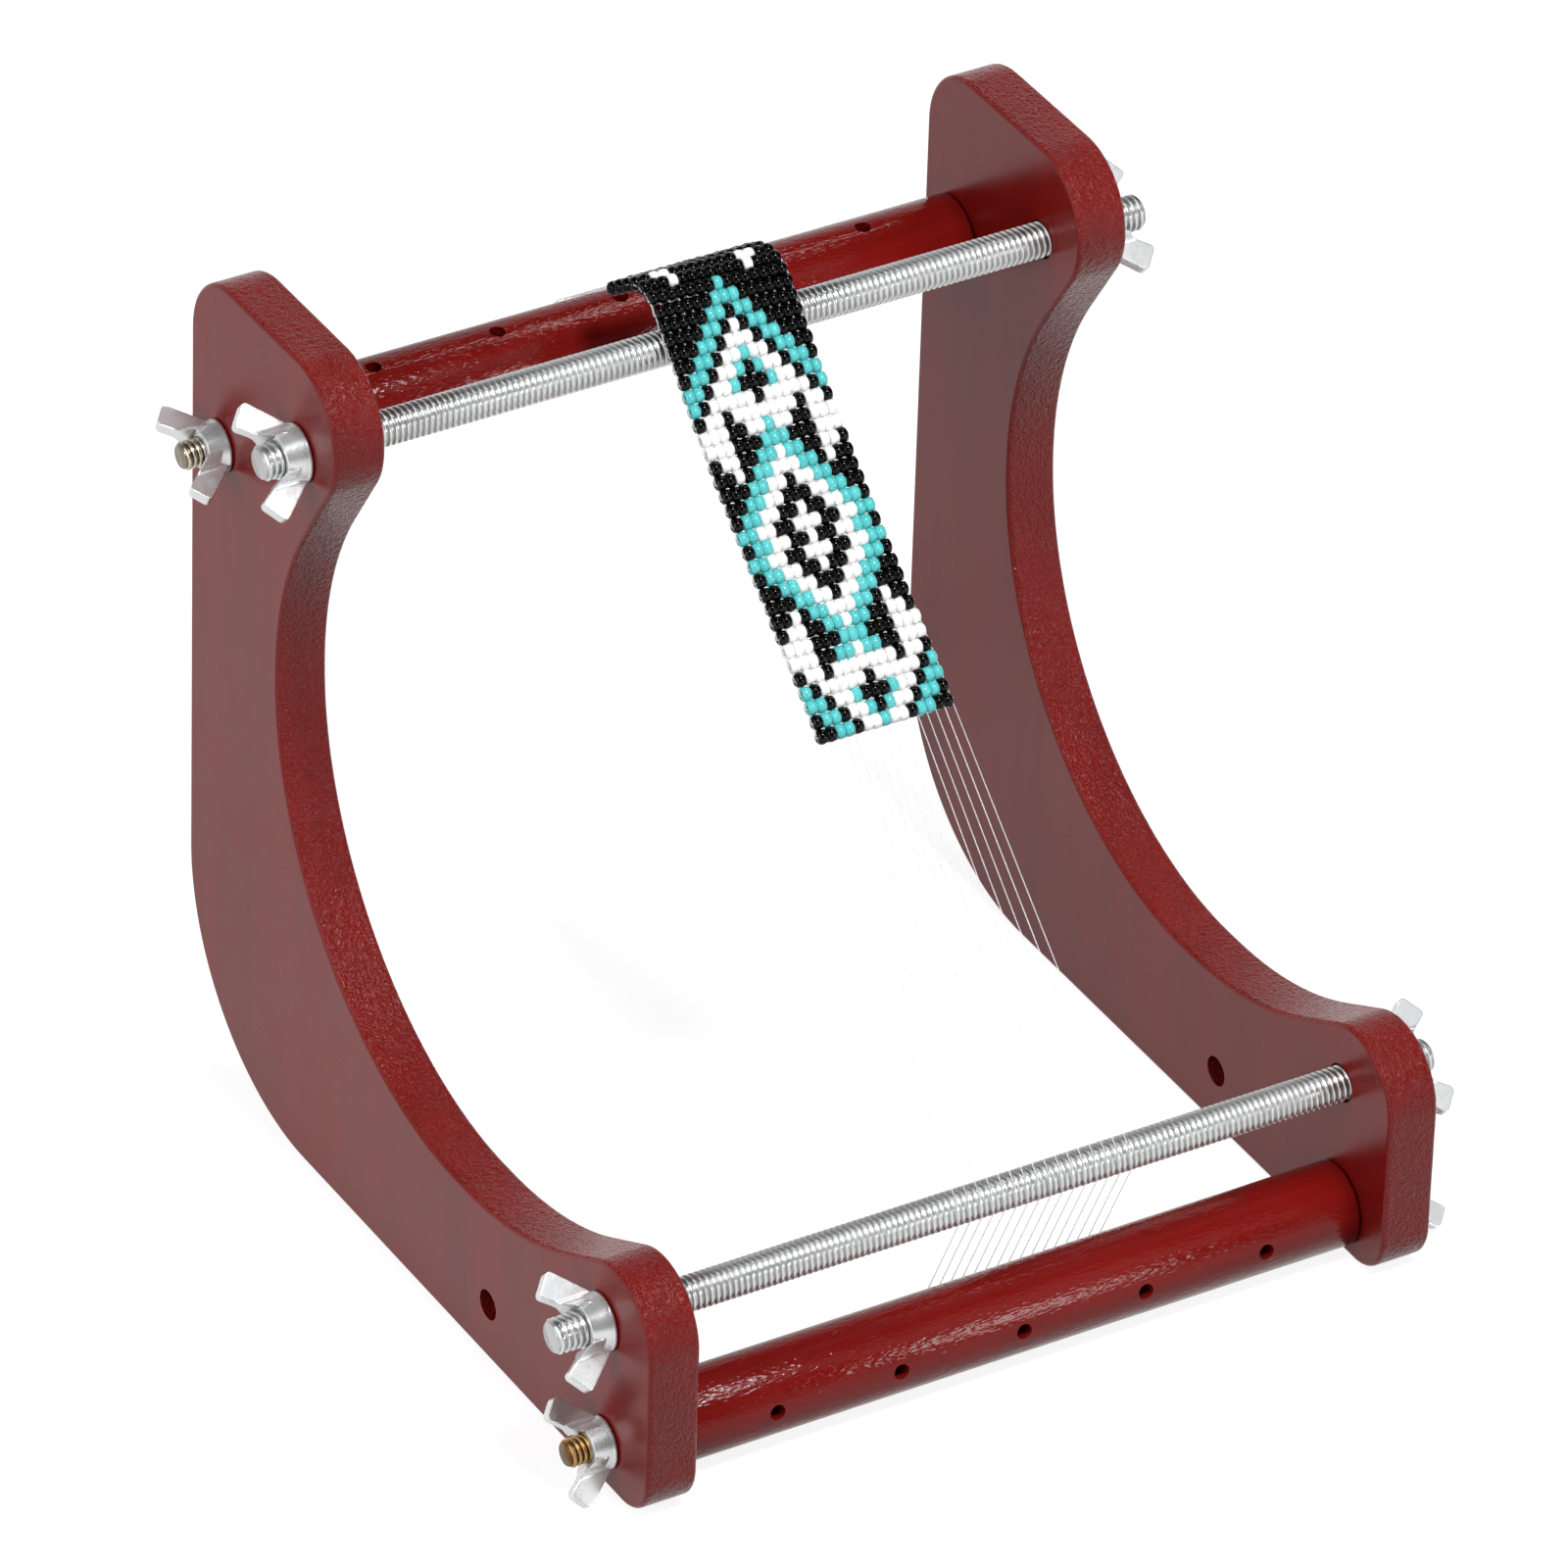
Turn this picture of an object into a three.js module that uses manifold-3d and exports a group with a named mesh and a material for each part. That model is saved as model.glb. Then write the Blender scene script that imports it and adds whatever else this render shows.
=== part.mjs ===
// A table-top bead loom: two lacquered wooden side panels, two threaded rods, two
// turning rollers held by hanger bolts and wing nuts, and a beaded strip in progress.
//
// Millimetres. X runs along the rods, -Y is the worker's side, +Z is up. The origin is
// on the table, midway between the panels and midway between their front and back edges.

import * as THREE from 'three';
import { mergeVertices } from 'three/addons/utils/BufferGeometryUtils.js';
import Module from 'manifold-3d';

const wasm = await Module();
wasm.setup();

// Side panels, seen from the side. The corners are those of the outline before rounding.
const PANEL_DEPTH = 200;
const PANEL_HEIGHT = 200;
const PANEL_THICKNESS = 12;
const PANEL_EASED_EDGE = 1;
const PANEL_GAP = 168;
const HEEL_ROUND = 51.8;
const BACK_TOP_ROUND = 16.8;
const NOSE_REACH = 77;
const NOSE_ROUND = 16.8;
const NOSE_DROP = 59.6;
const SPINE_WIDTH = 38.5;
const SPINE_ROUND = 77.5;
const THROAT_ROUND = 79;
const BASE_HEIGHT = 37.3;
const VALLEY_FROM_FRONT = 56.1;
const VALLEY_ROUND = 94.7;
const FOOT_HEIGHT = 65.9;
const FOOT_ROUND = 15.4;
const TOE_ROUND = 10.5;

// Places of the rods and rollers in the panels.
const UPPER_ROD_FROM_BACK = 47.5;
const UPPER_ROD_BELOW_TOP = 22;
const LOWER_ROD_FROM_FRONT = 19.6;
const LOWER_ROD_HEIGHT = 40.55;
const UPPER_ROLLER_FROM_BACK = 13.15;
const UPPER_ROLLER_BELOW_TOP = 39.7;
const LOWER_ROLLER_FROM_FRONT = 17.6;
const LOWER_ROLLER_HEIGHT = 10.8;
const SPARE_HOLE_FROM_FRONT = 67.4;
const SPARE_HOLE_HEIGHT = 13.7;

// Threaded rods. Each one sits a little to one side, as its nuts leave it.
const ROD_DIAMETER = 7.9375;
const ROD_PITCH = 1.4111;
const ROD_END_CHAMFER = 0.7;
const ROD_PROUD = 11;
const UPPER_ROD_SHIFT = 1.4;
const LOWER_ROD_SHIFT = -1.4;
const ROD_HOLE_CLEARANCE = 0.45;

// Rollers and the hanger bolts in their ends.
const ROLLER_DIAMETER = 19.05;
const ROLLER_END_CHAMFER = 0.6;
const ROLLER_END_GAP = 0.3;
const PEG_HOLE_DIAMETER = 3.6;
const PEG_HOLE_PITCH = 30;
const PEG_HOLE_COUNT = 5;
const UPPER_PEG_HOLE_ANGLE = 84;
const LOWER_PEG_HOLE_ANGLE = 5.6;
const STUD_DIAMETER = 6.35;
const STUD_SCREWED_IN = 20;
const STUD_POINT = 5;
const STUD_POINT_RADIUS = 0.8;
const STUD_BORE_END_GAP = 0.3;
const STUD_PROUD = 9.6;
const STUD_END_CHAMFER = 0.6;
const STUD_HOLE_CLEARANCE = 0.3;

// Wing nuts, in two sizes. The root and the tip are the two ends of a wing's middle line.
// Seen along the bore, the wings are flat plates that flare where they meet the hub.
const SEAT_GAP = 0.3;
const THREAD_GAP = 0.28;
const HUB_EDGE = 0.3;
const HUB_RIM = 1.6;
const WING_THICKNESS = 2.9;
const WING_TIP_ROUND = 1.1;
const WING_EDGE_ROUND = 0.6;
const WING_CROOK_ROUND = 1.6;
const WING_CROOK_LIFT = 0.4;
const WING_CROOK_OUT = 0.2;
const WING_HEEL_LIFT = 0.5;
const WING_HEEL_IN = 0.4;
const WING_HEEL_ROUND = 0.8;
const FLARE_ANGLE = 50;
const FLARE_ROUND = 5;
const ROD_NUT = {
  bore: ROD_DIAMETER,
  hubBase: 13.4,
  hubTop: 10.8,
  hubHeight: 5,
  rootRadius: 4.7,
  rootHeight: 2.1,
  tipRadius: 11.1,
  tipHeight: 10.2,
  wingWidth: 6.2,
};
const STUD_NUT = {
  bore: STUD_DIAMETER,
  hubBase: 12,
  hubTop: 9.5,
  hubHeight: 4.6,
  rootRadius: 4.2,
  rootHeight: 1.9,
  tipRadius: 10.3,
  tipHeight: 9.7,
  wingWidth: 5.2,
};

// How far each nut's wings are turned up from level, on the wing that points back.
const NUT_TURNS = {
  upper_left_stud: 28,
  upper_right_stud: 64,
  lower_left_stud: 50,
  lower_right_stud: 50,
  upper_left_rod: 43,
  upper_right_rod: 41,
  lower_left_rod: 44,
  lower_right_rod: 41,
};

// Beadwork. Rows run across the loom. Its stiff upper end arches clear of the upper rod.
const BEADS_ACROSS = 15;
const BEAD_WIDTH = 2.18;
const BEAD_HEIGHT = 3.1;
const ROW_COUNT = 37;
const ROW_PITCH = 3.175;
const ROW_NOTCH = 0.62;
const ROW_SLOPE = 0.25;
const STRIP_BELOW_ROD = 90.6;
const STRIP_CENTRE = 6.3;
const STRIP_DRIFT = 0.0257;
const ARCH_RISE = 7;
const ARCH_RADIUS = 8;
const WORK_GAP = 0.3;

// Warp threads. On the lower rod each one lies two thread turns from the next.
const WARP_DIAMETER = 0.35;
const WARP_SIDES = 6;
const TURNS_BETWEEN_WARPS = 2;
const WARP_CENTRE_ON_ROD = 8.25;
const WARP_ON_LOWER_ROLLER = 27;
const WARP_ON_UPPER_ROLLER = 100;
const WARP_STEPS = { lowerRoller: 2, lowerRod: 4, upperRoller: 6 };

const WELD_DISTANCE = 1e-4;
const CUTTER_OVERRUN = 1;
const ROUNDS_SHARE_OF_SIDE = 0.99;
const TURNED_SIDES = 32;
const NUT_SIDES = 24;
const HOLE_SIDES = 16;
const PEG_HOLE_SIDES = 12;
const OUTLINE_STEP = 7.5;
const NUT_OUTLINE_STEP = 30;

const halfGap = PANEL_GAP / 2;
const halfWidth = halfGap + PANEL_THICKNESS;
const fromBack = (distance) => PANEL_DEPTH / 2 - distance;
const fromFront = (distance) => distance - PANEL_DEPTH / 2;

const upperRodAxis = new THREE.Vector2(fromBack(UPPER_ROD_FROM_BACK), PANEL_HEIGHT - UPPER_ROD_BELOW_TOP);
const lowerRodAxis = new THREE.Vector2(fromFront(LOWER_ROD_FROM_FRONT), LOWER_ROD_HEIGHT);
const upperRollerAxis = new THREE.Vector2(
  fromBack(UPPER_ROLLER_FROM_BACK),
  PANEL_HEIGHT - UPPER_ROLLER_BELOW_TOP,
);
const lowerRollerAxis = new THREE.Vector2(fromFront(LOWER_ROLLER_FROM_FRONT), LOWER_ROLLER_HEIGHT);
const spareHoleAxis = new THREE.Vector2(fromFront(SPARE_HOLE_FROM_FRONT), SPARE_HOLE_HEIGHT);

const finishes = {
  wood: new THREE.MeshStandardMaterial({ color: 0x7c2a26, roughness: 0.35 }),
  zinc: new THREE.MeshStandardMaterial({ color: 0xc9ccd0, roughness: 0.3, metalness: 1 }),
  bronze: new THREE.MeshStandardMaterial({ color: 0x9b8f7a, roughness: 0.35, metalness: 1 }),
  brass: new THREE.MeshStandardMaterial({ color: 0x8a6a33, roughness: 0.35, metalness: 1 }),
  beads: new THREE.MeshStandardMaterial({ color: 0x2a2a2c, roughness: 0.2 }),
  thread: new THREE.MeshStandardMaterial({ color: 0xf2f2f0, roughness: 0.4 }),
};

/** A closed geometry as a solid that can be joined and cut. */
function toSolid(geometry) {
  const bare = geometry.index ? geometry.toNonIndexed() : geometry.clone();
  bare.deleteAttribute('normal');
  bare.deleteAttribute('uv');
  const merged = mergeVertices(bare, WELD_DISTANCE);
  return new wasm.Manifold(
    new wasm.Mesh({
      numProp: 3,
      vertProperties: new Float32Array(merged.attributes.position.array),
      triVerts: new Uint32Array(merged.index.array),
    }),
  );
}

/** A solid back as a geometry. */
function toGeometry(solid) {
  const mesh = solid.getMesh();
  const geometry = new THREE.BufferGeometry();
  geometry.setAttribute('position', new THREE.BufferAttribute(mesh.vertProperties, 3));
  geometry.setIndex(new THREE.BufferAttribute(mesh.triVerts, 1));
  geometry.computeVertexNormals();
  return geometry;
}

/** Turns a geometry drawn in the (y, z) plane, with its depth along x. */
function acrossLoom(geometry) {
  const basis = new THREE.Matrix4().makeBasis(
    new THREE.Vector3(0, 1, 0),
    new THREE.Vector3(0, 0, 1),
    new THREE.Vector3(1, 0, 0),
  );
  return geometry.applyMatrix4(basis);
}

/** A turned piece along x, from [distance along x, radius] pairs. */
function turned(profile, sides = TURNED_SIDES) {
  const points = profile.map(([along, radius]) => new THREE.Vector2(radius, along));
  return new THREE.LatheGeometry(points, sides).rotateZ(-Math.PI / 2);
}

/** A cutter for a round hole along x, centred on an axis in the (y, z) plane. */
function holeAlongX(axis, diameter, from, to) {
  const cutter = new THREE.CylinderGeometry(diameter / 2, diameter / 2, to - from, HOLE_SIDES);
  cutter.rotateZ(-Math.PI / 2);
  cutter.translate((from + to) / 2, axis.x, axis.y);
  return toSolid(cutter);
}

/**
 * An outline with rounded corners. Each corner is [y, z, radius]; a round that is too
 * large for its two sides is limited to what they leave.
 */
function roundedOutline(corners, stepAngle = OUTLINE_STEP) {
  const places = corners.map(([y, z]) => new THREE.Vector2(y, z));
  const count = corners.length;
  const turns = places.map((place, i) => {
    const before = places[(i + count - 1) % count].clone().sub(place).normalize();
    const after = places[(i + 1) % count].clone().sub(place).normalize();
    return { before, after, half: Math.acos(THREE.MathUtils.clamp(before.dot(after), -1, 1)) / 2 };
  });
  const wanted = turns.map((turn, i) => corners[i][2] / Math.tan(turn.half));
  const outline = [];
  for (let i = 0; i < count; i += 1) {
    const next = (i + 1) % count;
    const previous = (i + count - 1) % count;
    const sideAfter = places[i].distanceTo(places[next]);
    const sideBefore = places[i].distanceTo(places[previous]);
    const share = Math.min(
      1,
      (ROUNDS_SHARE_OF_SIDE * sideAfter) / (wanted[i] + wanted[next]),
      (ROUNDS_SHARE_OF_SIDE * sideBefore) / (wanted[i] + wanted[previous]),
    );
    const { before, after, half } = turns[i];
    const radius = corners[i][2] * share;
    const centre = before.clone().add(after).normalize();
    centre.multiplyScalar(radius / Math.sin(half)).add(places[i]);
    const start = places[i].clone().addScaledVector(before, wanted[i] * share).sub(centre);
    const end = places[i].clone().addScaledVector(after, wanted[i] * share).sub(centre);
    let sweep = end.angle() - start.angle();
    if (sweep > Math.PI) sweep -= 2 * Math.PI;
    if (sweep < -Math.PI) sweep += 2 * Math.PI;
    const steps = Math.max(2, Math.ceil(THREE.MathUtils.radToDeg(Math.abs(sweep)) / stepAngle));
    for (let step = 0; step <= steps; step += 1) {
      const angle = start.angle() + (sweep * step) / steps;
      outline.push(
        new THREE.Vector2(centre.x + radius * Math.cos(angle), centre.y + radius * Math.sin(angle)),
      );
    }
  }
  return outline;
}

/** One side panel, its inner and outer faces at x = 0 and x = the thickness. */
function sidePanelGeometry() {
  const spineFront = fromBack(SPINE_WIDTH);
  const front = -PANEL_DEPTH / 2;
  const outline = roundedOutline([
    [fromBack(0), 0, HEEL_ROUND],
    [fromBack(0), PANEL_HEIGHT, BACK_TOP_ROUND],
    [fromBack(NOSE_REACH), PANEL_HEIGHT, NOSE_ROUND],
    [spineFront, PANEL_HEIGHT - NOSE_DROP, SPINE_ROUND],
    [spineFront, BASE_HEIGHT, THROAT_ROUND],
    [fromFront(VALLEY_FROM_FRONT), BASE_HEIGHT, VALLEY_ROUND],
    [front, FOOT_HEIGHT, FOOT_ROUND],
    [front, 0, TOE_ROUND],
  ]);
  const board = new THREE.ExtrudeGeometry(new THREE.Shape(outline), {
    depth: PANEL_THICKNESS - 2 * PANEL_EASED_EDGE,
    bevelEnabled: true,
    bevelThickness: PANEL_EASED_EDGE,
    bevelSize: PANEL_EASED_EDGE,
    bevelOffset: -PANEL_EASED_EDGE,
    bevelSegments: 2,
  });
  board.translate(0, 0, PANEL_EASED_EDGE);
  const rodHole = ROD_DIAMETER + 2 * ROD_HOLE_CLEARANCE;
  const studHole = STUD_DIAMETER + 2 * STUD_HOLE_CLEARANCE;
  const holes = [
    [upperRodAxis, rodHole],
    [lowerRodAxis, rodHole],
    [upperRollerAxis, studHole],
    [lowerRollerAxis, studHole],
    [spareHoleAxis, studHole],
  ];
  let solid = toSolid(acrossLoom(board));
  const to = PANEL_THICKNESS + CUTTER_OVERRUN;
  for (const [axis, diameter] of holes) {
    solid = solid.subtract(holeAlongX(axis, diameter, -CUTTER_OVERRUN, to));
  }
  return toGeometry(solid);
}

/** A threaded rod, plain at its thread's outer diameter, centred on its middle. */
function rodGeometry() {
  const half = halfWidth + ROD_PROUD;
  const radius = ROD_DIAMETER / 2;
  return turned([
    [-half, 0],
    [-half, radius - ROD_END_CHAMFER],
    [-half + ROD_END_CHAMFER, radius],
    [half - ROD_END_CHAMFER, radius],
    [half, radius - ROD_END_CHAMFER],
    [half, 0],
  ]);
}

/** A roller with its row of peg holes and the bores for its two hanger bolts. */
function rollerGeometry(pegHoleAngle) {
  const half = halfGap - ROLLER_END_GAP;
  const radius = ROLLER_DIAMETER / 2;
  const dowel = turned([
    [-half, 0],
    [-half, radius - ROLLER_END_CHAMFER],
    [-half + ROLLER_END_CHAMFER, radius],
    [half - ROLLER_END_CHAMFER, radius],
    [half, radius - ROLLER_END_CHAMFER],
    [half, 0],
  ]);
  let solid = toSolid(dowel);
  const bore = STUD_DIAMETER + 2 * THREAD_GAP;
  const depth = STUD_SCREWED_IN + STUD_BORE_END_GAP;
  const centre = new THREE.Vector2(0, 0);
  solid = solid.subtract(holeAlongX(centre, bore, -half - CUTTER_OVERRUN, -half + depth));
  solid = solid.subtract(holeAlongX(centre, bore, half - depth, half + CUTTER_OVERRUN));
  for (let i = 0; i < PEG_HOLE_COUNT; i += 1) {
    const peg = new THREE.CylinderGeometry(
      PEG_HOLE_DIAMETER / 2,
      PEG_HOLE_DIAMETER / 2,
      ROLLER_DIAMETER + 2 * CUTTER_OVERRUN,
      PEG_HOLE_SIDES,
    );
    peg.rotateX(THREE.MathUtils.degToRad(-pegHoleAngle));
    peg.translate(PEG_HOLE_PITCH * (i - (PEG_HOLE_COUNT - 1) / 2), 0, 0);
    solid = solid.subtract(toSolid(peg));
  }
  return toGeometry(solid);
}

/** A hanger bolt for the right end of a roller, with x = 0 at the roller's end face. */
function studGeometry() {
  const radius = STUD_DIAMETER / 2;
  const end = ROLLER_END_GAP + PANEL_THICKNESS + STUD_PROUD;
  return turned([
    [-STUD_SCREWED_IN, 0],
    [-STUD_SCREWED_IN, STUD_POINT_RADIUS],
    [-STUD_SCREWED_IN + STUD_POINT, radius],
    [end - STUD_END_CHAMFER, radius],
    [end, radius - STUD_END_CHAMFER],
    [end, 0],
  ], HOLE_SIDES);
}

/** A nut's two wings seen along its bore: one plate that widens to the hub's round. */
function wingPlan(nut) {
  const half = WING_THICKNESS / 2;
  const reach = nut.tipRadius + nut.wingWidth / 2;
  const round = (nut.hubBase + nut.hubTop) / 4;
  const slope = THREE.MathUtils.degToRad(FLARE_ANGLE);
  const peak = round / Math.sin(slope);
  const flare = (round - half * Math.sin(slope)) / Math.cos(slope);
  return roundedOutline([
    [reach, -half, WING_EDGE_ROUND],
    [reach, half, WING_EDGE_ROUND],
    [flare, half, FLARE_ROUND],
    [0, peak, round],
    [-flare, half, FLARE_ROUND],
    [-reach, half, WING_EDGE_ROUND],
    [-reach, -half, WING_EDGE_ROUND],
    [-flare, -half, FLARE_ROUND],
    [0, -peak, round],
    [flare, -half, FLARE_ROUND],
  ], NUT_OUTLINE_STEP);
}

/** One wing seen from its flat side, as [along the bore, out from the bore]. */
function wingProfile(nut) {
  const hubRadius = nut.hubBase / 2;
  const boreRadius = nut.bore / 2;
  const root = new THREE.Vector2(nut.rootHeight, nut.rootRadius);
  const tip = new THREE.Vector2(nut.tipHeight, nut.tipRadius);
  const along = tip.clone().sub(root).normalize();
  const across = new THREE.Vector2(-along.y, along.x).multiplyScalar(nut.wingWidth / 2);
  const outerTip = tip.clone().add(across);
  const innerTip = tip.clone().sub(across);
  return roundedOutline([
    [WING_HEEL_LIFT, hubRadius - WING_HEEL_IN, WING_HEEL_ROUND],
    [outerTip.x, outerTip.y, WING_TIP_ROUND],
    [innerTip.x, innerTip.y, WING_TIP_ROUND],
    [nut.hubHeight + WING_CROOK_LIFT, nut.hubTop / 2 + WING_CROOK_OUT, WING_CROOK_ROUND],
    [nut.hubHeight - WING_CROOK_LIFT, boreRadius, 0],
    [WING_HEEL_LIFT, boreRadius, 0],
  ], NUT_OUTLINE_STEP);
}

/** A wing nut that stands on x = 0 and opens towards +x, its wings in the (x, y) plane. */
function wingNutGeometry(nut) {
  const hubRadius = nut.hubBase / 2;
  const hub = turned([
    [0, 0],
    [0, hubRadius - HUB_EDGE],
    [HUB_EDGE, hubRadius],
    [HUB_RIM, hubRadius],
    [nut.hubHeight, nut.hubTop / 2],
    [nut.hubHeight, 0],
  ], NUT_SIDES);
  const wide = new THREE.ExtrudeGeometry(new THREE.Shape(wingProfile(nut)), {
    depth: nut.hubBase,
    bevelEnabled: false,
  });
  wide.translate(0, 0, -hubRadius);
  const opposite = wide.clone().rotateX(Math.PI);
  const height = nut.tipHeight + nut.wingWidth;
  const plan = new THREE.ExtrudeGeometry(new THREE.Shape(wingPlan(nut)), {
    depth: height,
    bevelEnabled: false,
  });
  const wings = toSolid(wide).add(toSolid(opposite)).intersect(toSolid(acrossLoom(plan)));
  const bore = holeAlongX(new THREE.Vector2(0, 0), nut.bore + 2 * THREAD_GAP, -CUTTER_OVERRUN, height);
  return toGeometry(toSolid(hub).add(wings).subtract(bore));
}

/**
 * A taut path round circles in the (y, z) plane, with tangents between them. A circle's
 * radius is positive where the path turns left round it, and negative where it turns right.
 */
class BeltPath {
  constructor(circles) {
    this.pieces = [];
    this.length = 0;
    const headings = [];
    for (let i = 0; i + 1 < circles.length; i += 1) {
      headings.push(BeltPath.heading(circles[i], circles[i + 1]));
    }
    for (let i = 0; i + 1 < circles.length; i += 1) {
      const from = BeltPath.point(circles[i], headings[i]);
      const to = BeltPath.point(circles[i + 1], headings[i]);
      this.addPiece({ from, heading: headings[i], turn: 0, length: from.distanceTo(to) });
      if (i + 2 < circles.length) {
        this.addArc(circles[i + 1], headings[i], headings[i + 1]);
      }
    }
  }

  static heading(first, second) {
    const apart = second.centre.clone().sub(first.centre);
    const lean = (second.radius - first.radius) / apart.length();
    return Math.atan2(apart.y, apart.x) + Math.acos(lean) - Math.PI / 2;
  }

  static point(circle, heading) {
    const left = heading + Math.PI / 2;
    return new THREE.Vector2(
      circle.centre.x - circle.radius * Math.cos(left),
      circle.centre.y - circle.radius * Math.sin(left),
    );
  }

  addPiece(piece) {
    this.pieces.push({ ...piece, start: this.length });
    this.length += piece.length;
  }

  addArc(circle, headingIn, headingOut) {
    let sweep = headingOut - headingIn;
    if (circle.radius < 0 && sweep > 0) sweep -= 2 * Math.PI;
    if (circle.radius > 0 && sweep < 0) sweep += 2 * Math.PI;
    const length = Math.abs(sweep * circle.radius);
    this.addPiece({ circle, heading: headingIn, turn: sweep / length, length });
  }

  /** The place and heading at a distance along the path. */
  at(distance) {
    const later = this.pieces.findLast((piece) => piece.start <= distance);
    const piece = later ?? this.pieces[0];
    const along = distance - piece.start;
    if (!piece.circle) {
      const y = piece.from.x + along * Math.cos(piece.heading);
      const z = piece.from.y + along * Math.sin(piece.heading);
      return { y, z, heading: piece.heading };
    }
    const heading = piece.heading + piece.turn * along;
    const place = BeltPath.point(piece.circle, heading);
    return { y: place.x, z: place.y, heading };
  }
}

/** The route of the work: up from the lower rod, over its arch and on to the upper roller. */
function workRoute() {
  const rodRadius = ROD_DIAMETER / 2;
  const warpOff = WORK_GAP + WARP_DIAMETER / 2;
  const lowerRod = { centre: lowerRodAxis, radius: -(rodRadius + warpOff) };
  const upperRod = { centre: upperRodAxis, radius: -(rodRadius + WORK_GAP + BEAD_HEIGHT / 2) };
  const heading = BeltPath.heading(lowerRod, upperRod);
  const onLowerRod = BeltPath.point(lowerRod, heading);
  const onUpperRod = BeltPath.point(upperRod, heading);
  const archStart = onUpperRod.clone();
  archStart.add(new THREE.Vector2(Math.cos(heading), Math.sin(heading)).multiplyScalar(ARCH_RISE));
  const right = heading - Math.PI / 2;
  const archCentre = archStart.clone();
  archCentre.add(new THREE.Vector2(Math.cos(right), Math.sin(right)).multiplyScalar(ARCH_RADIUS));
  const upperRoller = { centre: upperRollerAxis, radius: -(ROLLER_DIAMETER / 2 + warpOff) };
  const path = new BeltPath([lowerRod, { centre: archCentre, radius: -ARCH_RADIUS }, upperRoller]);
  const rodToRod = onLowerRod.distanceTo(onUpperRod);
  return { path, rodToRod, upperRoller, stripStart: rodToRod - STRIP_BELOW_ROD };
}

/** The bead strip: one ribbon with a rounded ridge for each row of beads. */
function beadStripGeometry() {
  const { path, rodToRod, stripStart } = workRoute();
  const ridge = [
    [0, ROW_NOTCH],
    [ROW_SLOPE, 1],
    [1 - ROW_SLOPE, 1],
  ];
  const stations = [];
  for (let row = 0; row < ROW_COUNT; row += 1) {
    for (const [share, height] of ridge) {
      stations.push({ distance: stripStart + (row + share) * ROW_PITCH, height });
    }
  }
  stations.push({ distance: stripStart + ROW_COUNT * ROW_PITCH, height: ROW_NOTCH });
  const outline = [];
  const shifts = [];
  for (const side of [1, -1]) {
    const ordered = side > 0 ? stations : [...stations].reverse();
    for (const { distance, height } of ordered) {
      const { y, z, heading } = path.at(distance);
      const reach = (side * height * BEAD_HEIGHT) / 2;
      outline.push(new THREE.Vector2(y + reach * Math.sin(heading), z - reach * Math.cos(heading)));
      shifts.push(stripCentre(rodToRod - distance));
    }
  }
  const half = (BEADS_ACROSS * BEAD_WIDTH) / 2;
  const count = outline.length;
  const positions = [];
  for (const side of [-half, half]) {
    outline.forEach((place, i) => positions.push(shifts[i] + side, place.x, place.y));
  }
  const index = [];
  for (const [a, b, c] of THREE.ShapeUtils.triangulateShape(outline, [])) {
    index.push(a, c, b, a + count, b + count, c + count);
  }
  for (let i = 0; i < count; i += 1) {
    const next = (i + 1) % count;
    index.push(i, next, next + count, i, next + count, i + count);
  }
  const geometry = new THREE.BufferGeometry();
  geometry.setAttribute('position', new THREE.Float32BufferAttribute(positions, 3));
  geometry.setIndex(index);
  geometry.computeVertexNormals();
  return geometry;
}

/** The middle of the strip in x, at a distance below the upper rod. */
function stripCentre(belowRod) {
  return STRIP_CENTRE + STRIP_DRIFT * belowRod;
}

/** A curve through given points that is sampled at those points only. */
class PointRoute extends THREE.Curve {
  constructor(points) {
    super();
    this.points = points;
  }

  getPoint(t, target = new THREE.Vector3()) {
    const place = t * (this.points.length - 1);
    const i = Math.min(Math.floor(place), this.points.length - 2);
    return target.lerpVectors(this.points[i], this.points[i + 1], place - i);
  }

  getUtoTmapping(u) {
    return u;
  }
}

/** A thread through given points. */
function threadGeometry(points) {
  const section = new THREE.Shape();
  for (let side = 0; side < WARP_SIDES; side += 1) {
    const angle = (2 * Math.PI * side) / WARP_SIDES;
    const corner = new THREE.Vector2(Math.cos(angle), Math.sin(angle));
    corner.multiplyScalar(WARP_DIAMETER / 2);
    if (side === 0) section.moveTo(corner.x, corner.y);
    else section.lineTo(corner.x, corner.y);
  }
  return new THREE.ExtrudeGeometry(section, {
    steps: points.length - 1,
    extrudePath: new PointRoute(points),
  });
}

/** Points of a thread at one x round a circle, between two headings. */
function pointsRound(circle, x, from, to, steps) {
  const points = [];
  for (let step = 0; step <= steps; step += 1) {
    const spot = BeltPath.point(circle, from + ((to - from) * step) / steps);
    points.push(new THREE.Vector3(x, spot.x, spot.y));
  }
  return points;
}

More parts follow.
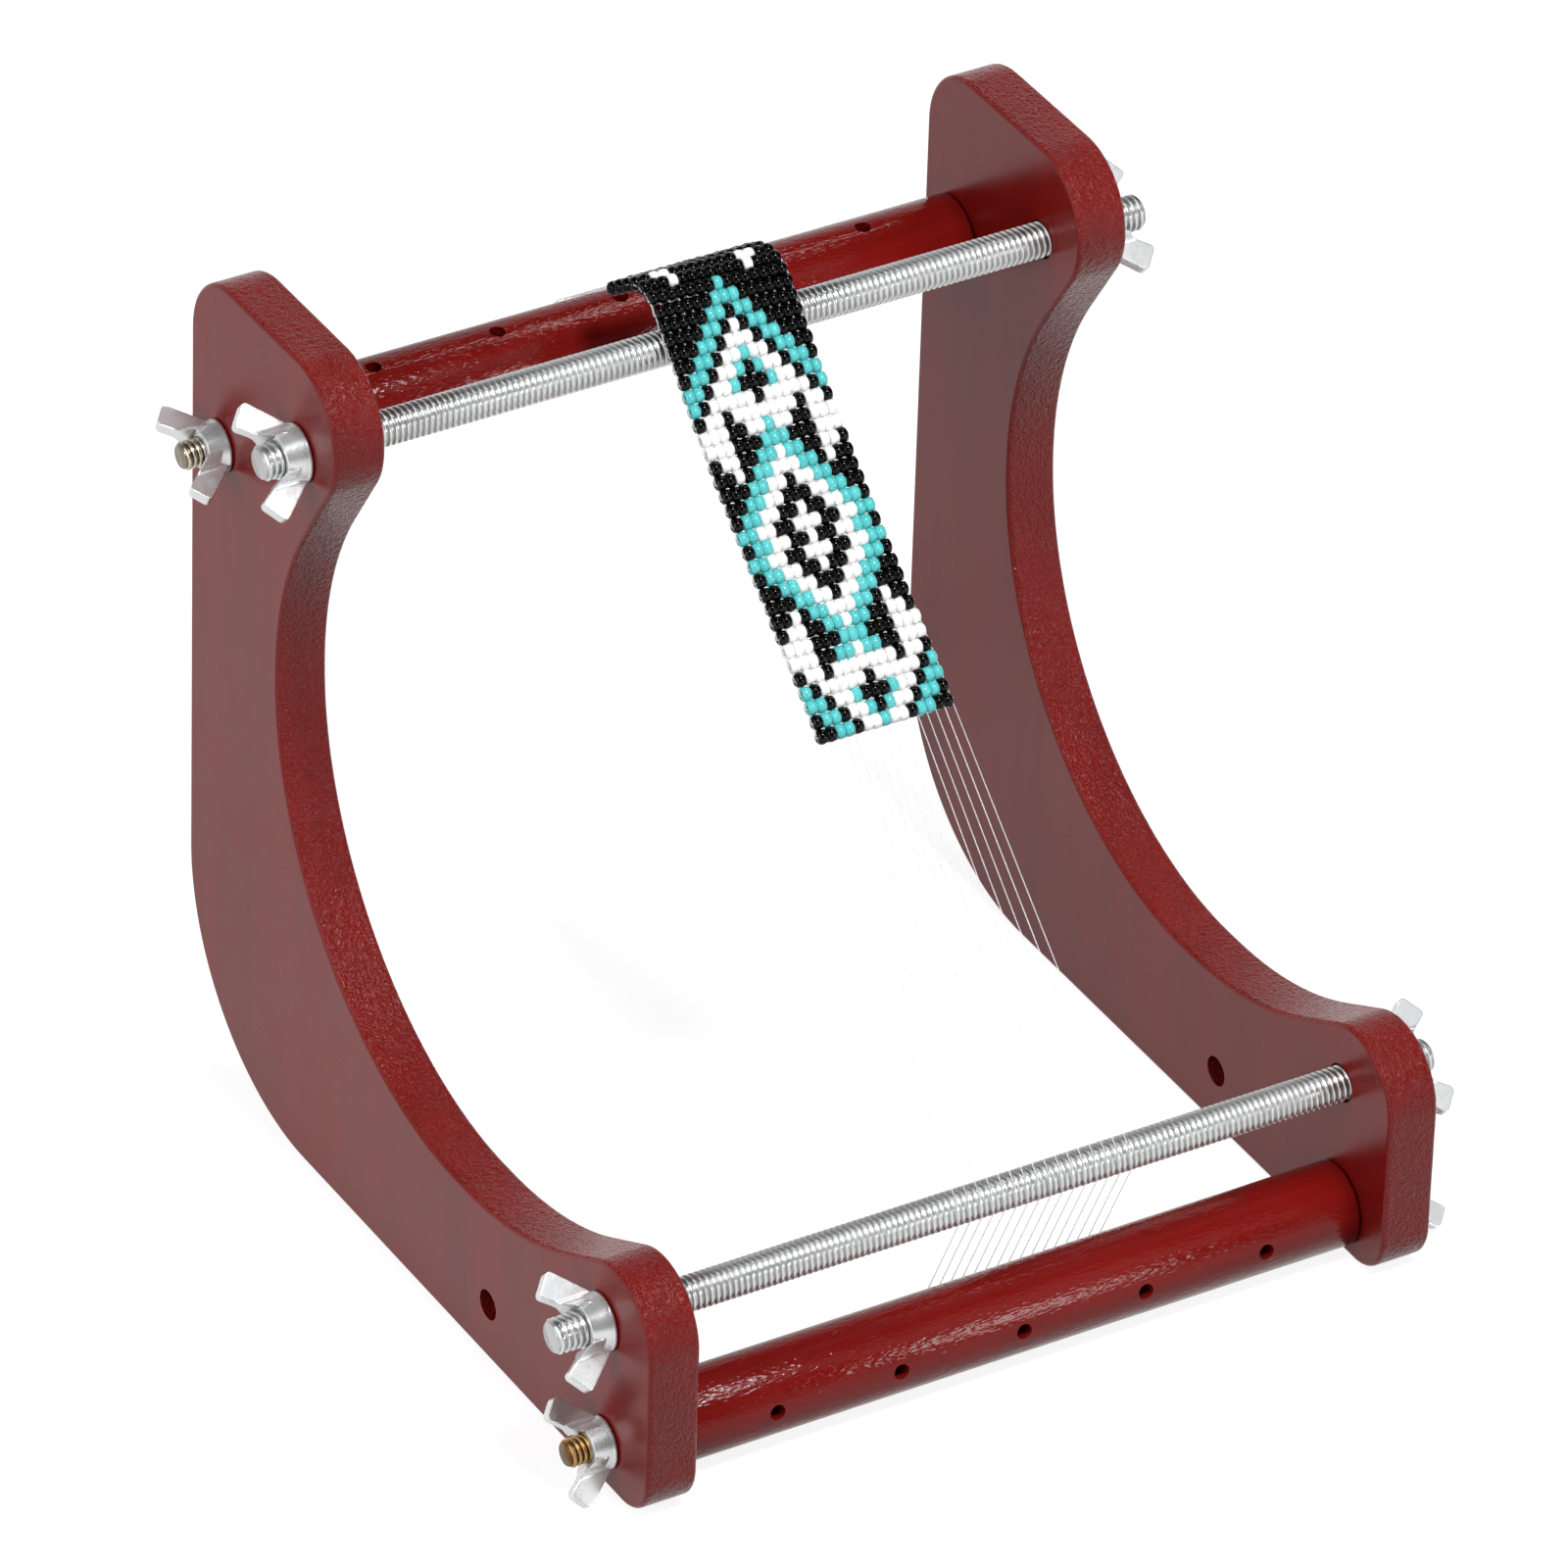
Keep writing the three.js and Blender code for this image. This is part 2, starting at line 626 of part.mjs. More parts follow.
/** A warp's stretch from the lower roller, over the lower rod, to the strip's lower end. */
function lowerWarpGeometry(number) {
  const { path, stripStart } = workRoute();
  const offset = number - BEADS_ACROSS / 2;
  const xAtStrip = stripCentre(STRIP_BELOW_ROD) + offset * BEAD_WIDTH;
  const xAtRod = WARP_CENTRE_ON_ROD + offset * TURNS_BETWEEN_WARPS * ROD_PITCH;
  const off = WORK_GAP + WARP_DIAMETER / 2;
  const rod = { centre: lowerRodAxis, radius: -(ROD_DIAMETER / 2 + off) };
  const roller = { centre: lowerRollerAxis, radius: ROLLER_DIAMETER / 2 + off };
  const leaving = BeltPath.heading(roller, rod);
  const wound = THREE.MathUtils.degToRad(WARP_ON_LOWER_ROLLER);
  const end = path.at(stripStart - WORK_GAP);
  return threadGeometry([
    ...pointsRound(roller, xAtRod, leaving - wound, leaving, WARP_STEPS.lowerRoller),
    ...pointsRound(rod, xAtRod, leaving, end.heading, WARP_STEPS.lowerRod),
    new THREE.Vector3(xAtStrip, end.y, end.z),
  ]);
}

/** A warp's stretch from the strip's upper end to the upper roller and round its back. */
function upperWarpGeometry(number) {
  const { path, rodToRod, upperRoller, stripStart } = workRoute();
  const stripEnd = stripStart + ROW_COUNT * ROW_PITCH;
  const x = stripCentre(rodToRod - stripEnd) + (number - BEADS_ACROSS / 2) * BEAD_WIDTH;
  const start = path.at(stripEnd + WORK_GAP);
  const wound = THREE.MathUtils.degToRad(WARP_ON_UPPER_ROLLER);
  return threadGeometry([
    new THREE.Vector3(x, start.y, start.z),
    ...pointsRound(upperRoller, x, start.heading, start.heading - wound, WARP_STEPS.upperRoller),
  ]);
}

const loom = new THREE.Group();

function place(name, geometry, material, position = [0, 0, 0]) {
  const mesh = new THREE.Mesh(geometry, material);
  mesh.name = name;
  mesh.position.set(...position);
  loom.add(mesh);
  return mesh;
}

function addPanels() {
  place('left_side_panel', sidePanelGeometry(), finishes.wood, [-halfWidth, 0, 0]);
  place('right_side_panel', sidePanelGeometry(), finishes.wood, [halfGap, 0, 0]);
}

function addRods() {
  place('upper_threaded_rod', rodGeometry(), finishes.zinc, [UPPER_ROD_SHIFT, ...upperRodAxis]);
  place('lower_threaded_rod', rodGeometry(), finishes.zinc, [LOWER_ROD_SHIFT, ...lowerRodAxis]);
}

function addRoller(level, axis, pegHoleAngle, studFinish) {
  place(`${level}_roller`, rollerGeometry(pegHoleAngle), finishes.wood, [0, ...axis]);
  const end = halfGap - ROLLER_END_GAP;
  const left = place(`${level}_left_roller_stud`, studGeometry(), studFinish, [-end, ...axis]);
  left.rotation.z = Math.PI;
  place(`${level}_right_roller_stud`, studGeometry(), studFinish, [end, ...axis]);
}

/** A wing nut on the outside of a panel. Its wing that points back is turned up. */
function addWingNut(name, nut, axis, side, turnUp) {
  const position = [side * (halfWidth + SEAT_GAP), ...axis];
  const mesh = place(`${name}_wing_nut`, wingNutGeometry(nut), finishes.zinc, position);
  const upright = THREE.MathUtils.degToRad(turnUp);
  if (side > 0) {
    mesh.rotation.x = upright;
  } else {
    mesh.rotation.set(upright, 0, Math.PI, 'XYZ');
  }
}

function addWingNuts() {
  for (const [word, side] of [['left', -1], ['right', 1]]) {
    for (const [level, rod, roller] of [
      ['upper', upperRodAxis, upperRollerAxis],
      ['lower', lowerRodAxis, lowerRollerAxis],
    ]) {
      const onRod = `${level}_${word}_rod`;
      const onStud = `${level}_${word}_stud`;
      addWingNut(onRod, ROD_NUT, rod, side, NUT_TURNS[onRod]);
      addWingNut(onStud, STUD_NUT, roller, side, NUT_TURNS[onStud]);
    }
  }
}

function addWork() {
  place('bead_strip', beadStripGeometry(), finishes.beads);
  for (let number = 0; number <= BEADS_ACROSS; number += 1) {
    const label = String(number + 1).padStart(2, '0');
    place(`lower_warp_${label}`, lowerWarpGeometry(number), finishes.thread);
    place(`upper_warp_${label}`, upperWarpGeometry(number), finishes.thread);
  }
}

addPanels();
addRods();
addRoller('upper', upperRollerAxis, UPPER_PEG_HOLE_ANGLE, finishes.bronze);
addRoller('lower', lowerRollerAxis, LOWER_PEG_HOLE_ANGLE, finishes.brass);
addWingNuts();
addWork();

export default loom;
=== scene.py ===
"""A table-top bead loom, dressed for a studio photograph.

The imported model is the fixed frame. Each sub-assembly of the loom is a class that holds
its sizes in millimetres, models its pieces and puts them on their bodies.
"""

import logging
import math
import random
from dataclasses import dataclass, field
from enum import Enum
from typing import Callable, Iterable, Sequence

import bmesh
import bpy
from mathutils import Matrix, Vector


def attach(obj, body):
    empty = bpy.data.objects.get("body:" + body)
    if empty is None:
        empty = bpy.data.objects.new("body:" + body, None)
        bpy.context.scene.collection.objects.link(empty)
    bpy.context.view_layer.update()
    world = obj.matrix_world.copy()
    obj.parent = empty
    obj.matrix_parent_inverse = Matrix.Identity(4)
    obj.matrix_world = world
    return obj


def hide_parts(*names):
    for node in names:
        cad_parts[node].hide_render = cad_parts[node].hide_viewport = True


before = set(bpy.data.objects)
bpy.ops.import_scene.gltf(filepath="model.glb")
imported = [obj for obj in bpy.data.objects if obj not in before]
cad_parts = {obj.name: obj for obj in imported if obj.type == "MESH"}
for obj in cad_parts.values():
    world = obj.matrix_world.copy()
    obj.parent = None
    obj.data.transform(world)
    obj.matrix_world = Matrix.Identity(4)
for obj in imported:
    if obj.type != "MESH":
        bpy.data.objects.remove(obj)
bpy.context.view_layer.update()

log = logging.getLogger("bead_loom")

MM = 0.001
QUARTER_TURN = math.pi / 2
Socket = bpy.types.NodeSocket
Piece = bpy.types.Object
Point = tuple[float, float]
Triple = tuple[float, float, float]
Colour = tuple[float, float, float, float]
# The attribute that holds each bead's tone, from 0 to 1.
TONE = "bead_tone"
# How far a drill reaches past a face, in millimetres.
DRILL_PAST = 1.0


class Slot(Enum):
    """The record's material slots."""

    WOOD = "lacquered_wood"
    ZINC = "zinc_steel"
    BRONZE = "dull_bronze"
    BRASS = "brass"
    BEADS = "beads"
    THREAD = "nylon_thread"


class Bead(Enum):
    """The colours of the beads."""

    BLACK = "black"
    WHITE = "white"
    TURQUOISE = "turquoise"


class Side(Enum):
    """The two ends of the loom, as signs of x."""

    LEFT = -1
    RIGHT = 1


@dataclass(frozen=True)
class LoomSizes:
    """The loom's main sizes, and the y and z of its axes. Millimetres.

    Attributes:
        depth: The panels' depth.
        height: The panels' height.
        panel_thickness: The panels' thickness.
        panel_gap: The clear width between the panels.
        rod_diameter: The threaded rods' diameter.
        rod_pitch: The pitch of their thread.
        stud_diameter: The diameter of the rollers' bolts.
        stud_pitch: The pitch of their thread.
        roller_diameter: The rollers' diameter.
        roller_end_gap: The gap between a roller's end and its panel.
        upper_rod: The upper rod's axis.
        lower_rod: The lower rod's axis.
        upper_roller: The upper roller's axis.
        lower_roller: The lower roller's axis.
        spare_hole: The axis of the panels' spare holes.
    """

    depth: float = 200.0
    height: float = 200.0
    panel_thickness: float = 12.0
    panel_gap: float = 168.0
    rod_diameter: float = 7.9375
    rod_pitch: float = 1.4111
    stud_diameter: float = 6.35
    stud_pitch: float = 1.27
    roller_diameter: float = 19.05
    roller_end_gap: float = 0.3
    upper_rod: Point = (52.5, 178.0)
    lower_rod: Point = (-80.4, 40.55)
    upper_roller: Point = (86.85, 160.3)
    lower_roller: Point = (-82.4, 10.8)
    spare_hole: Point = (-32.6, 13.7)

    @property
    def half_gap(self) -> float:
        """Half the clear width between the panels."""
        return self.panel_gap / 2

    @property
    def half_width(self) -> float:
        """Half the width over the panels."""
        return self.half_gap + self.panel_thickness


SIZES = LoomSizes()


def deselect_all() -> None:
    """Leaves nothing selected."""
    for each in bpy.context.selected_objects:
        each.select_set(False)


def activate(piece: Piece) -> None:
    """Makes a piece the only selected one, and the active one.

    Args:
        piece: The piece.
    """
    deselect_all()
    piece.select_set(True)
    bpy.context.view_layer.objects.active = piece


def newest(name: str) -> Piece:
    """Names the piece that an operator has just added.

    Args:
        name: The new name.

    Returns:
        The piece.
    """
    piece = bpy.context.active_object
    piece.name = name
    piece.data.name = name
    return piece


class EditMode:
    """A stretch of work in edit mode on one piece, with nothing selected at first."""

    def __init__(self, piece: Piece) -> None:
        """Keeps the piece that is worked on."""
        self.piece = piece

    def __enter__(self) -> "EditMode":
        """Enters edit mode."""
        activate(self.piece)
        bpy.ops.object.mode_set(mode="EDIT")
        bpy.ops.mesh.select_all(action="DESELECT")
        return self

    def __exit__(self, *_: object) -> None:
        """Goes back to object mode."""
        bpy.ops.object.mode_set(mode="OBJECT")

    def select(self, kind: str, test: Callable[..., bool]) -> None:
        """Selects the elements that pass a test, and no others.

        Args:
            kind: One of verts, edges and faces.
            test: Says whether an element is wanted.
        """
        modes = {"verts": "VERT", "edges": "EDGE", "faces": "FACE"}
        bpy.ops.mesh.select_mode(type=modes[kind])
        bpy.ops.mesh.select_all(action="DESELECT")
        mesh = bmesh.from_edit_mesh(self.piece.data)
        for element in getattr(mesh, kind):
            if test(element):
                element.select_set(True)
        mesh.select_flush_mode()
        bmesh.update_edit_mesh(self.piece.data)

    def select_all(self) -> None:
        """Selects everything."""
        bpy.ops.mesh.select_all(action="SELECT")

    def select_loops_across_x(self) -> None:
        """Selects the edges that lie in a plane across x, to a hundredth of a millimetre."""
        flat = 0.01 * MM
        self.select("edges", lambda edge: abs(edge.verts[0].co.x - edge.verts[1].co.x) < flat)

    def close_and_face_out(self) -> None:
        """Merges doubled vertices and turns the faces outwards."""
        self.select_all()
        bpy.ops.mesh.remove_doubles(threshold=0.001 * MM)
        bpy.ops.mesh.normals_make_consistent(inside=False)


class Pen:
    """Draws an outline from one vertex by extruding and spinning it. Millimetres."""

    def __init__(self, name: str, start: Sequence[float], origin: Sequence[float] = (0, 0, 0)) -> None:
        """Puts down the first vertex.

        Args:
            name: The piece's name.
            start: The first vertex, from the piece's origin.
            origin: The piece's origin.
        """
        bpy.ops.mesh.primitive_plane_add(size=MM, location=Vector(origin) * MM)
        self.piece = newest(name)
        self.origin = Vector(origin)
        self.place = Vector(start)
        bpy.ops.object.mode_set(mode="EDIT")
        bpy.ops.mesh.select_mode(type="VERT")
        bpy.ops.mesh.select_all(action="SELECT")
        bpy.ops.mesh.merge(type="CENTER")
        bpy.ops.transform.translate(value=self.place * MM)

    def line_to(self, end: Sequence[float]) -> None:
        """Draws a straight line.

        Args:
            end: Where it ends.
        """
        step = Vector(end) - self.place
        bpy.ops.mesh.extrude_region_move(TRANSFORM_OT_translate={"value": step * MM})
        self.place = Vector(end)

    def arc(self, centre: Sequence[float], sweep: float, steps: int) -> None:
        """Draws an arc round an axis along x.

        Args:
            centre: The arc's centre.
            sweep: The turn from +y towards +z, in radians.
            steps: The number of straight edges.
        """
        middle = Vector(centre)
        bpy.ops.mesh.spin(
            steps=steps, angle=-sweep, center=(middle + self.origin) * MM, axis=(1, 0, 0)
        )
        self.place = Matrix.Rotation(sweep, 3, "X") @ (self.place - middle) + middle

    def finish(self, closed: bool) -> Piece:
        """Ends the outline, as a face if it is closed.

        Args:
            closed: Whether the last vertex joins the first.

        Returns:
            The piece, in object mode.
        """
        if closed:
            bpy.ops.mesh.select_all(action="DESELECT")
            mesh = bmesh.from_edit_mesh(self.piece.data)
            ends = [vert for vert in mesh.verts if len(vert.link_edges) == 1]
            for vert in ends:
                vert.select_set(True)
            bmesh.update_edit_mesh(self.piece.data)
            bpy.ops.mesh.edge_face_add()
            bpy.ops.mesh.select_all(action="SELECT")
            bpy.ops.mesh.edge_face_add()
        bpy.ops.object.mode_set(mode="OBJECT")
        return self.piece


def rounds_of(corners: Sequence[Triple], side_share: float = 0.99) -> list[tuple]:
    """The rounds of an outline. Rounds that are too large for their side share it.

    Args:
        corners: The outline before rounding, each corner's y, z and radius.
        side_share: How much of a side its two rounds may take.

    Returns:
        For each corner where its arc starts, the arc's centre and its sweep in radians.
    """
    places = [Vector(corner[:2]) for corner in corners]
    count = len(places)
    ways = []
    for i, place in enumerate(places):
        before = (places[i - 1] - place).normalized()
        after = (places[(i + 1) % count] - place).normalized()
        ways.append((before, after, before.angle(after) / 2))
    wanted = [corners[i][2] / math.tan(ways[i][2]) for i in range(count)]
    made = []
    for i, place in enumerate(places):
        ahead = (i + 1) % count
        room_after = (place - places[ahead]).length / (wanted[i] + wanted[ahead])
        room_before = (place - places[i - 1]).length / (wanted[i] + wanted[i - 1])
        share = min(1.0, side_share * room_after, side_share * room_before)
        before, after, half = ways[i]
        radius = corners[i][2] * share
        centre = place + (before + after).normalized() * (radius / math.sin(half))
        start = place + before * wanted[i] * share
        end = place + after * wanted[i] * share
        turn = (start - centre).angle_signed(end - centre)
        made.append((start, centre, -turn))
    return made


def plate(name: str, x: float, corners: Sequence[Triple], step: float) -> Piece:
    """A flat face across x, with rounded corners.

    Args:
        name: Its name.
        x: Its x.
        corners: Its outline before rounding, each corner's y, z and radius.
        step: The turn in degrees from one point of a round to the next.

    Returns:
        The face.
    """
    rounds = rounds_of(corners)
    pen = Pen(name, (x, *rounds[0][0]))
    for start, centre, sweep in rounds:
        if start is not rounds[0][0]:
            pen.line_to((x, *start))
        pen.arc((x, *centre), sweep, max(3, math.ceil(math.degrees(abs(sweep)) / step)))
    return pen.finish(closed=True)


def apply_modifier(piece: Piece, kind: str, **settings: object) -> None:
    """Adds a modifier and applies it.

    Args:
        piece: The piece.
        kind: The modifier's type.
        settings: Its settings.
    """
    activate(piece)
    modifier = piece.modifiers.new(kind.lower(), kind)
    for name, value in settings.items():
        setattr(modifier, name, value)
    bpy.ops.object.modifier_apply(modifier=modifier.name)


def settle(piece: Piece) -> Piece:
    """Moves a piece's place into its mesh, so that its object sits at the origin.

    Args:
        piece: The piece.

    Returns:
        The same piece.
    """
    activate(piece)
    bpy.ops.object.transform_apply(location=True, rotation=True, scale=True)
    return piece


def join(pieces: Iterable[Piece], name: str) -> Piece:
    """Joins pieces into one.

    Args:
        pieces: The pieces.
        name: The name of the whole.

    Returns:
        The joined piece.
    """
    kept = list(pieces)
    deselect_all()
    for each in kept:
        each.select_set(True)
    bpy.context.view_layer.objects.active = kept[0]
    bpy.ops.object.join()
    return newest(name)


def copy_of(piece: Piece, name: str, turn: Matrix) -> Piece:
    """Copies a piece with its own mesh.

    Args:
        piece: The pattern.
        name: The copy's name.
        turn: What is done to the copy's mesh.

    Returns:
        The copy.
    """
    mesh = piece.data.copy()
    mesh.name = name
    mesh.transform(turn)
    made = bpy.data.objects.new(name, mesh)
    bpy.context.scene.collection.objects.link(made)
    return made


def cylinder(
    name: str, radius: float, start: float, end: float, axis: Point, sides: int = 48
) -> Piece:
    """A plain cylinder along x. Millimetres.

    Args:
        name: Its name.
        radius: Its radius.
        start: Its lower x.
        end: Its higher x.
        axis: The y and z of its axis.
        sides: How many sides it has.

    Returns:
        The piece.
    """
    bpy.ops.mesh.primitive_cylinder_add(
        vertices=sides,
        radius=radius * MM,
        depth=(end - start) * MM,
        location=((start + end) / 2 * MM, axis[0] * MM, axis[1] * MM),
        rotation=(0, QUARTER_TURN, 0),
    )
    return settle(newest(name))


def cut(piece: Piece, cutters: Iterable[Piece]) -> None:
    """Cuts pieces out of a piece, and removes them.

    Args:
        piece: What is cut.
        cutters: Closed pieces that don't touch one another.
    """
    cutter = join(cutters, "cutter")
    apply_modifier(piece, "BOOLEAN", operation="DIFFERENCE", solver="EXACT", object=cutter)
    bpy.data.objects.remove(cutter)


def smooth(piece: Piece, degrees: float) -> None:
    """Shades a piece smooth but for its sharp edges.

    Args:
        piece: The piece.
        degrees: The angle from which an edge is sharp.
    """
    activate(piece)
    bpy.ops.object.shade_smooth_by_angle(angle=math.radians(degrees))


def hand_over(
    piece: Piece, body: str, slot: Slot, finish: bpy.types.Material, stands_for: Sequence[str] = ()
) -> None:
    """Gives a finished piece its material and body, hides the CAD nodes that it replaces, and reports
    it.

    Args:
        piece: The finished piece.
        body: The CAD body that it rides on.
        slot: The record's slot that its finish comes from. Not used.
        finish: Its material.
        stands_for: The CAD nodes that it replaces.
    """
    piece.data.materials.clear()
    piece.data.materials.append(finish)
    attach(piece, body)
    if stands_for:
        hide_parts(*stands_for)
    log.info("%s: %d faces on %s", piece.name, len(piece.data.polygons), body)


class Graph:
    """Adds nodes to one node tree and links them."""

    def __init__(self, tree: bpy.types.NodeTree) -> None:
        """Keeps the tree that the nodes go in."""
        self.tree = tree

    def add(self, kind: str, inputs: dict | None = None, **settings: object) -> bpy.types.Node:
        """Adds a node.

        Args:
            kind: The node's type, without its ShaderNode.
            inputs: Values or sockets for its inputs, by name or number.
            settings: Its other settings.

        Returns:
            The node.
        """
        node = self.tree.nodes.new(kind if kind.startswith("Node") else "ShaderNode" + kind)
        for name, value in settings.items():
            setattr(node, name, value)
        for name, value in (inputs or {}).items():
            self.feed(node.inputs[name], value)
        return node

    def feed(self, socket: Socket, value: object) -> None:
        """Links a socket to an input, or sets the input to a plain value.

        Args:
            socket: The input.
            value: The socket or the value that it gets.
        """
        if isinstance(value, bpy.types.NodeSocket):
            self.tree.links.new(value, socket)
        else:
            socket.default_value = value

    def math(self, operation: str, *values: object, clamp: bool = False) -> Socket:
        """A Math node's result.

        Args:
            operation: What it does.
            values: Its inputs, sockets or numbers.
            clamp: Whether the result is kept from 0 to 1.

        Returns:
            The result's socket.
        """
        inputs = dict(enumerate(values))
        return self.add("Math", inputs, operation=operation, use_clamp=clamp).outputs[0]

    def ramp(self, value: Socket, low: float, high: float) -> Socket:
        """Stretches the values from low to high over 0 to 1, with soft ends."""
        inputs = {"Value": value, "From Min": low, "From Max": high}
        return self.add("MapRange", inputs, interpolation_type="SMOOTHSTEP").outputs[0]

    def mix(self, factor: object, first: object, second: object) -> Socket:
        """A mixed colour.

        Args:
            factor: The second colour's share.
            first: The first colour.
            second: The second colour.

        Returns:
            The colour's socket.
        """
        # On the Mix node the colours are inputs 6 and 7, and their mix is output 2.
        inputs = {"Factor": factor, 6: first, 7: second}
        return self.add("Mix", inputs, data_type="RGBA").outputs[2]

    def noise(self, vector: Socket, scale: object, detail: float = 2.0, rough: float = 0.5) -> Socket:
        """A noise pattern's value.

        Args:
            vector: Where it is read.
            scale: Its scale, per metre, as a socket or a number.
            detail: How many octaves it has.
            rough: How strong the finer octaves are.

        Returns:
            The value's socket.
        """
        inputs = {"Vector": vector, "Scale": scale, "Detail": detail, "Roughness": rough}
        return self.add("TexNoise", inputs).outputs[0]

    def blend(self, first: Socket, second: Socket, share: float) -> Socket:
        """Two values in one.

        Args:
            first: The first value.
            second: The second value.
            share: The first value's share. The second has the rest.

        Returns:
            The value's socket.
        """
        kept = self.math("MULTIPLY", first, share)
        rest = self.math("MULTIPLY", second, 1.0 - share)
        return self.math("ADD", kept, rest)

    def between(self, value: object, low: float, high: float) -> Socket:
        """Goes evenly from low, where a value is 0, to high, where it is 1."""
        return self.math("ADD", low, self.math("MULTIPLY", value, high - low))

    def place(self, location: Sequence[float] = (0, 0, 0), scale: Sequence[float] = (1, 1, 1)) -> Socket:
        """Object coordinates, moved and stretched.

        Args:
            location: What is added, in metres.
            scale: What each axis is multiplied by.

        Returns:
            The vector's socket.
        """
        read = self.add("TexCoord").outputs["Object"]
        inputs = {"Vector": read, "Location": location, "Scale": scale}
        return self.add("Mapping", inputs).outputs[0]


@dataclass(frozen=True)
class Effect:
    """A shader node group that finishes share. It is built when it is first used.

    Attributes:
        name: The group's name.
        inputs: Its inputs' names, first a vector and then numbers.
        outputs: Its outputs' names, all numbers.
        fill: Makes its nodes. It takes a graph and the inputs' sockets, and returns what
            goes to the outputs.
    """

    name: str
    inputs: tuple[str, ...]
    outputs: tuple[str, ...]
    fill: Callable[..., tuple[Socket, ...]]

    def build(self) -> bpy.types.NodeTree:
        """Builds the group.

        Returns:
            The group.
        """
        tree = bpy.data.node_groups.new(self.name, "ShaderNodeTree")
        for label in self.inputs:
            kind = "NodeSocketVector" if label == self.inputs[0] else "NodeSocketFloat"
            tree.interface.new_socket(label, in_out="INPUT", socket_type=kind)
        for label in self.outputs:
            tree.interface.new_socket(label, in_out="OUTPUT", socket_type="NodeSocketFloat")
        graph = Graph(tree)
        source = graph.add("NodeGroupInput")
        sink = graph.add("NodeGroupOutput")
        results = self.fill(graph, *source.outputs[: len(self.inputs)])
        for socket, result in zip(sink.inputs, results):
            graph.feed(socket, result)
        return tree

    def use(self, graph: Graph, *values: object) -> bpy.types.Node:
        """Places the group in a material.

        Args:
            graph: The material's graph.
            values: Sockets or numbers for its inputs, in order.

        Returns:
            The group's node.
        """
        tree = bpy.data.node_groups.get(self.name) or self.build()
        node = graph.add("Group", node_tree=tree)
        for socket, value in zip(node.inputs, values):
            graph.feed(socket, value)
        return node


def fill_grain(
    graph: Graph, vector: Socket, figure_scale: Socket, pore_scale: Socket
) -> tuple[Socket, Socket]:
    """Wood grain under lacquer: broad figure, and fine dark pores.

    Args:
        graph: The group's graph.
        vector: Where it is read, already stretched along the grain.
        figure_scale: The figure's scale.
        pore_scale: The pores' scale.

    Returns:
        The figure and the pores, from 0 to 1.
    """
    bend = graph.noise(vector, 1.0, detail=1.0)
    figure = graph.noise(vector, figure_scale, detail=4.0, rough=0.62)
    pores = graph.noise(vector, pore_scale, detail=1.0)
    broad = graph.blend(figure, bend, share=0.8)
    return graph.ramp(broad, low=0.36, high=0.66), graph.ramp(pores, low=0.58, high=0.72)


def fill_orange_peel(graph: Graph, vector: Socket, scale: Socket) -> tuple[Socket]:
    """The wrinkled, pitted skin of brushed lacquer over end grain.

    Args:
        graph: The group's graph.
        vector: Where it is read.
        scale: The wrinkles' scale.

    Returns:
        The skin's height, from 0 to 1.
    """
    pits_per_wrinkle = 2.3
    swell = graph.noise(vector, scale, detail=3.0, rough=0.6)
    finer = graph.math("MULTIPLY", scale, pits_per_wrinkle)
    cells = graph.add("TexVoronoi", {"Vector": vector, "Scale": finer}, feature="SMOOTH_F1")
    pits = graph.ramp(cells.outputs[0], low=0.05, high=0.6)
    return (graph.blend(swell, pits, share=0.75),)


def fill_handling(graph: Graph, vector: Socket, scale: Socket) -> tuple[Socket]:
    """Smudges and rubbed patches from handling, at two sizes.

    Args:
        graph: The group's graph.
        vector: Where it is read.
        scale: The patches' scale.

    Returns:
        A mask, from 0 to 1.
    """
    smudges_per_patch = 6.0
    broad = graph.noise(vector, scale)
    finer = graph.math("MULTIPLY", scale, smudges_per_patch)
    fine = graph.noise(vector, finer, detail=3.0, rough=0.7)
    return (graph.ramp(graph.blend(broad, fine, share=0.6), low=0.38, high=0.64),)


def fill_thread_root_shade(
    graph: Graph, vector: Socket, radius: Socket, depth: Socket
) -> tuple[Socket]:
    """How deep a point lies in a screw thread whose axis runs along x, for painting shade into its
    roots.

    Args:
        graph: The group's graph.
        vector: The point, from the axis.
        radius: The thread's outer radius.
        depth: The thread's depth.

    Returns:
        A mask of where shade is painted, 0 at the crests and 1 at the roots.
    """
    parts = graph.add("SeparateXYZ", {0: vector})
    squares = [graph.math("POWER", parts.outputs[axis], 2.0) for axis in (1, 2)]
    reach = graph.math("SQRT", graph.math("ADD", *squares))
    share = graph.math("DIVIDE", graph.math("SUBTRACT", radius, reach), depth)
    return (graph.ramp(share, low=0.15, high=0.95),)


WOOD_GRAIN = Effect(
    "wood_grain", ("Vector", "Figure Scale", "Pore Scale"), ("Figure", "Pores"), fill_grain
)
ORANGE_PEEL = Effect("orange_peel", ("Vector", "Scale"), ("Height",), fill_orange_peel)
HANDLING = Effect("handling", ("Vector", "Scale"), ("Mask",), fill_handling)
# Where shade is painted into the roots of a screw thread.
THREAD_ROOT_SHADE = Effect("thread_root_shade", ("Vector", "Radius", "Depth"), ("Mask",), fill_thread_root_shade)


def start_material(name: str) -> tuple[bpy.types.Material, Graph, bpy.types.Node]:
    """A new material with its Principled BSDF.

    Args:
        name: The material's name.

    Returns:
        The material, its graph and its Principled BSDF.
    """
    material = bpy.data.materials.new(name)
    material.use_nodes = True
    graph = Graph(material.node_tree)
    return material, graph, material.node_tree.nodes["Principled BSDF"]


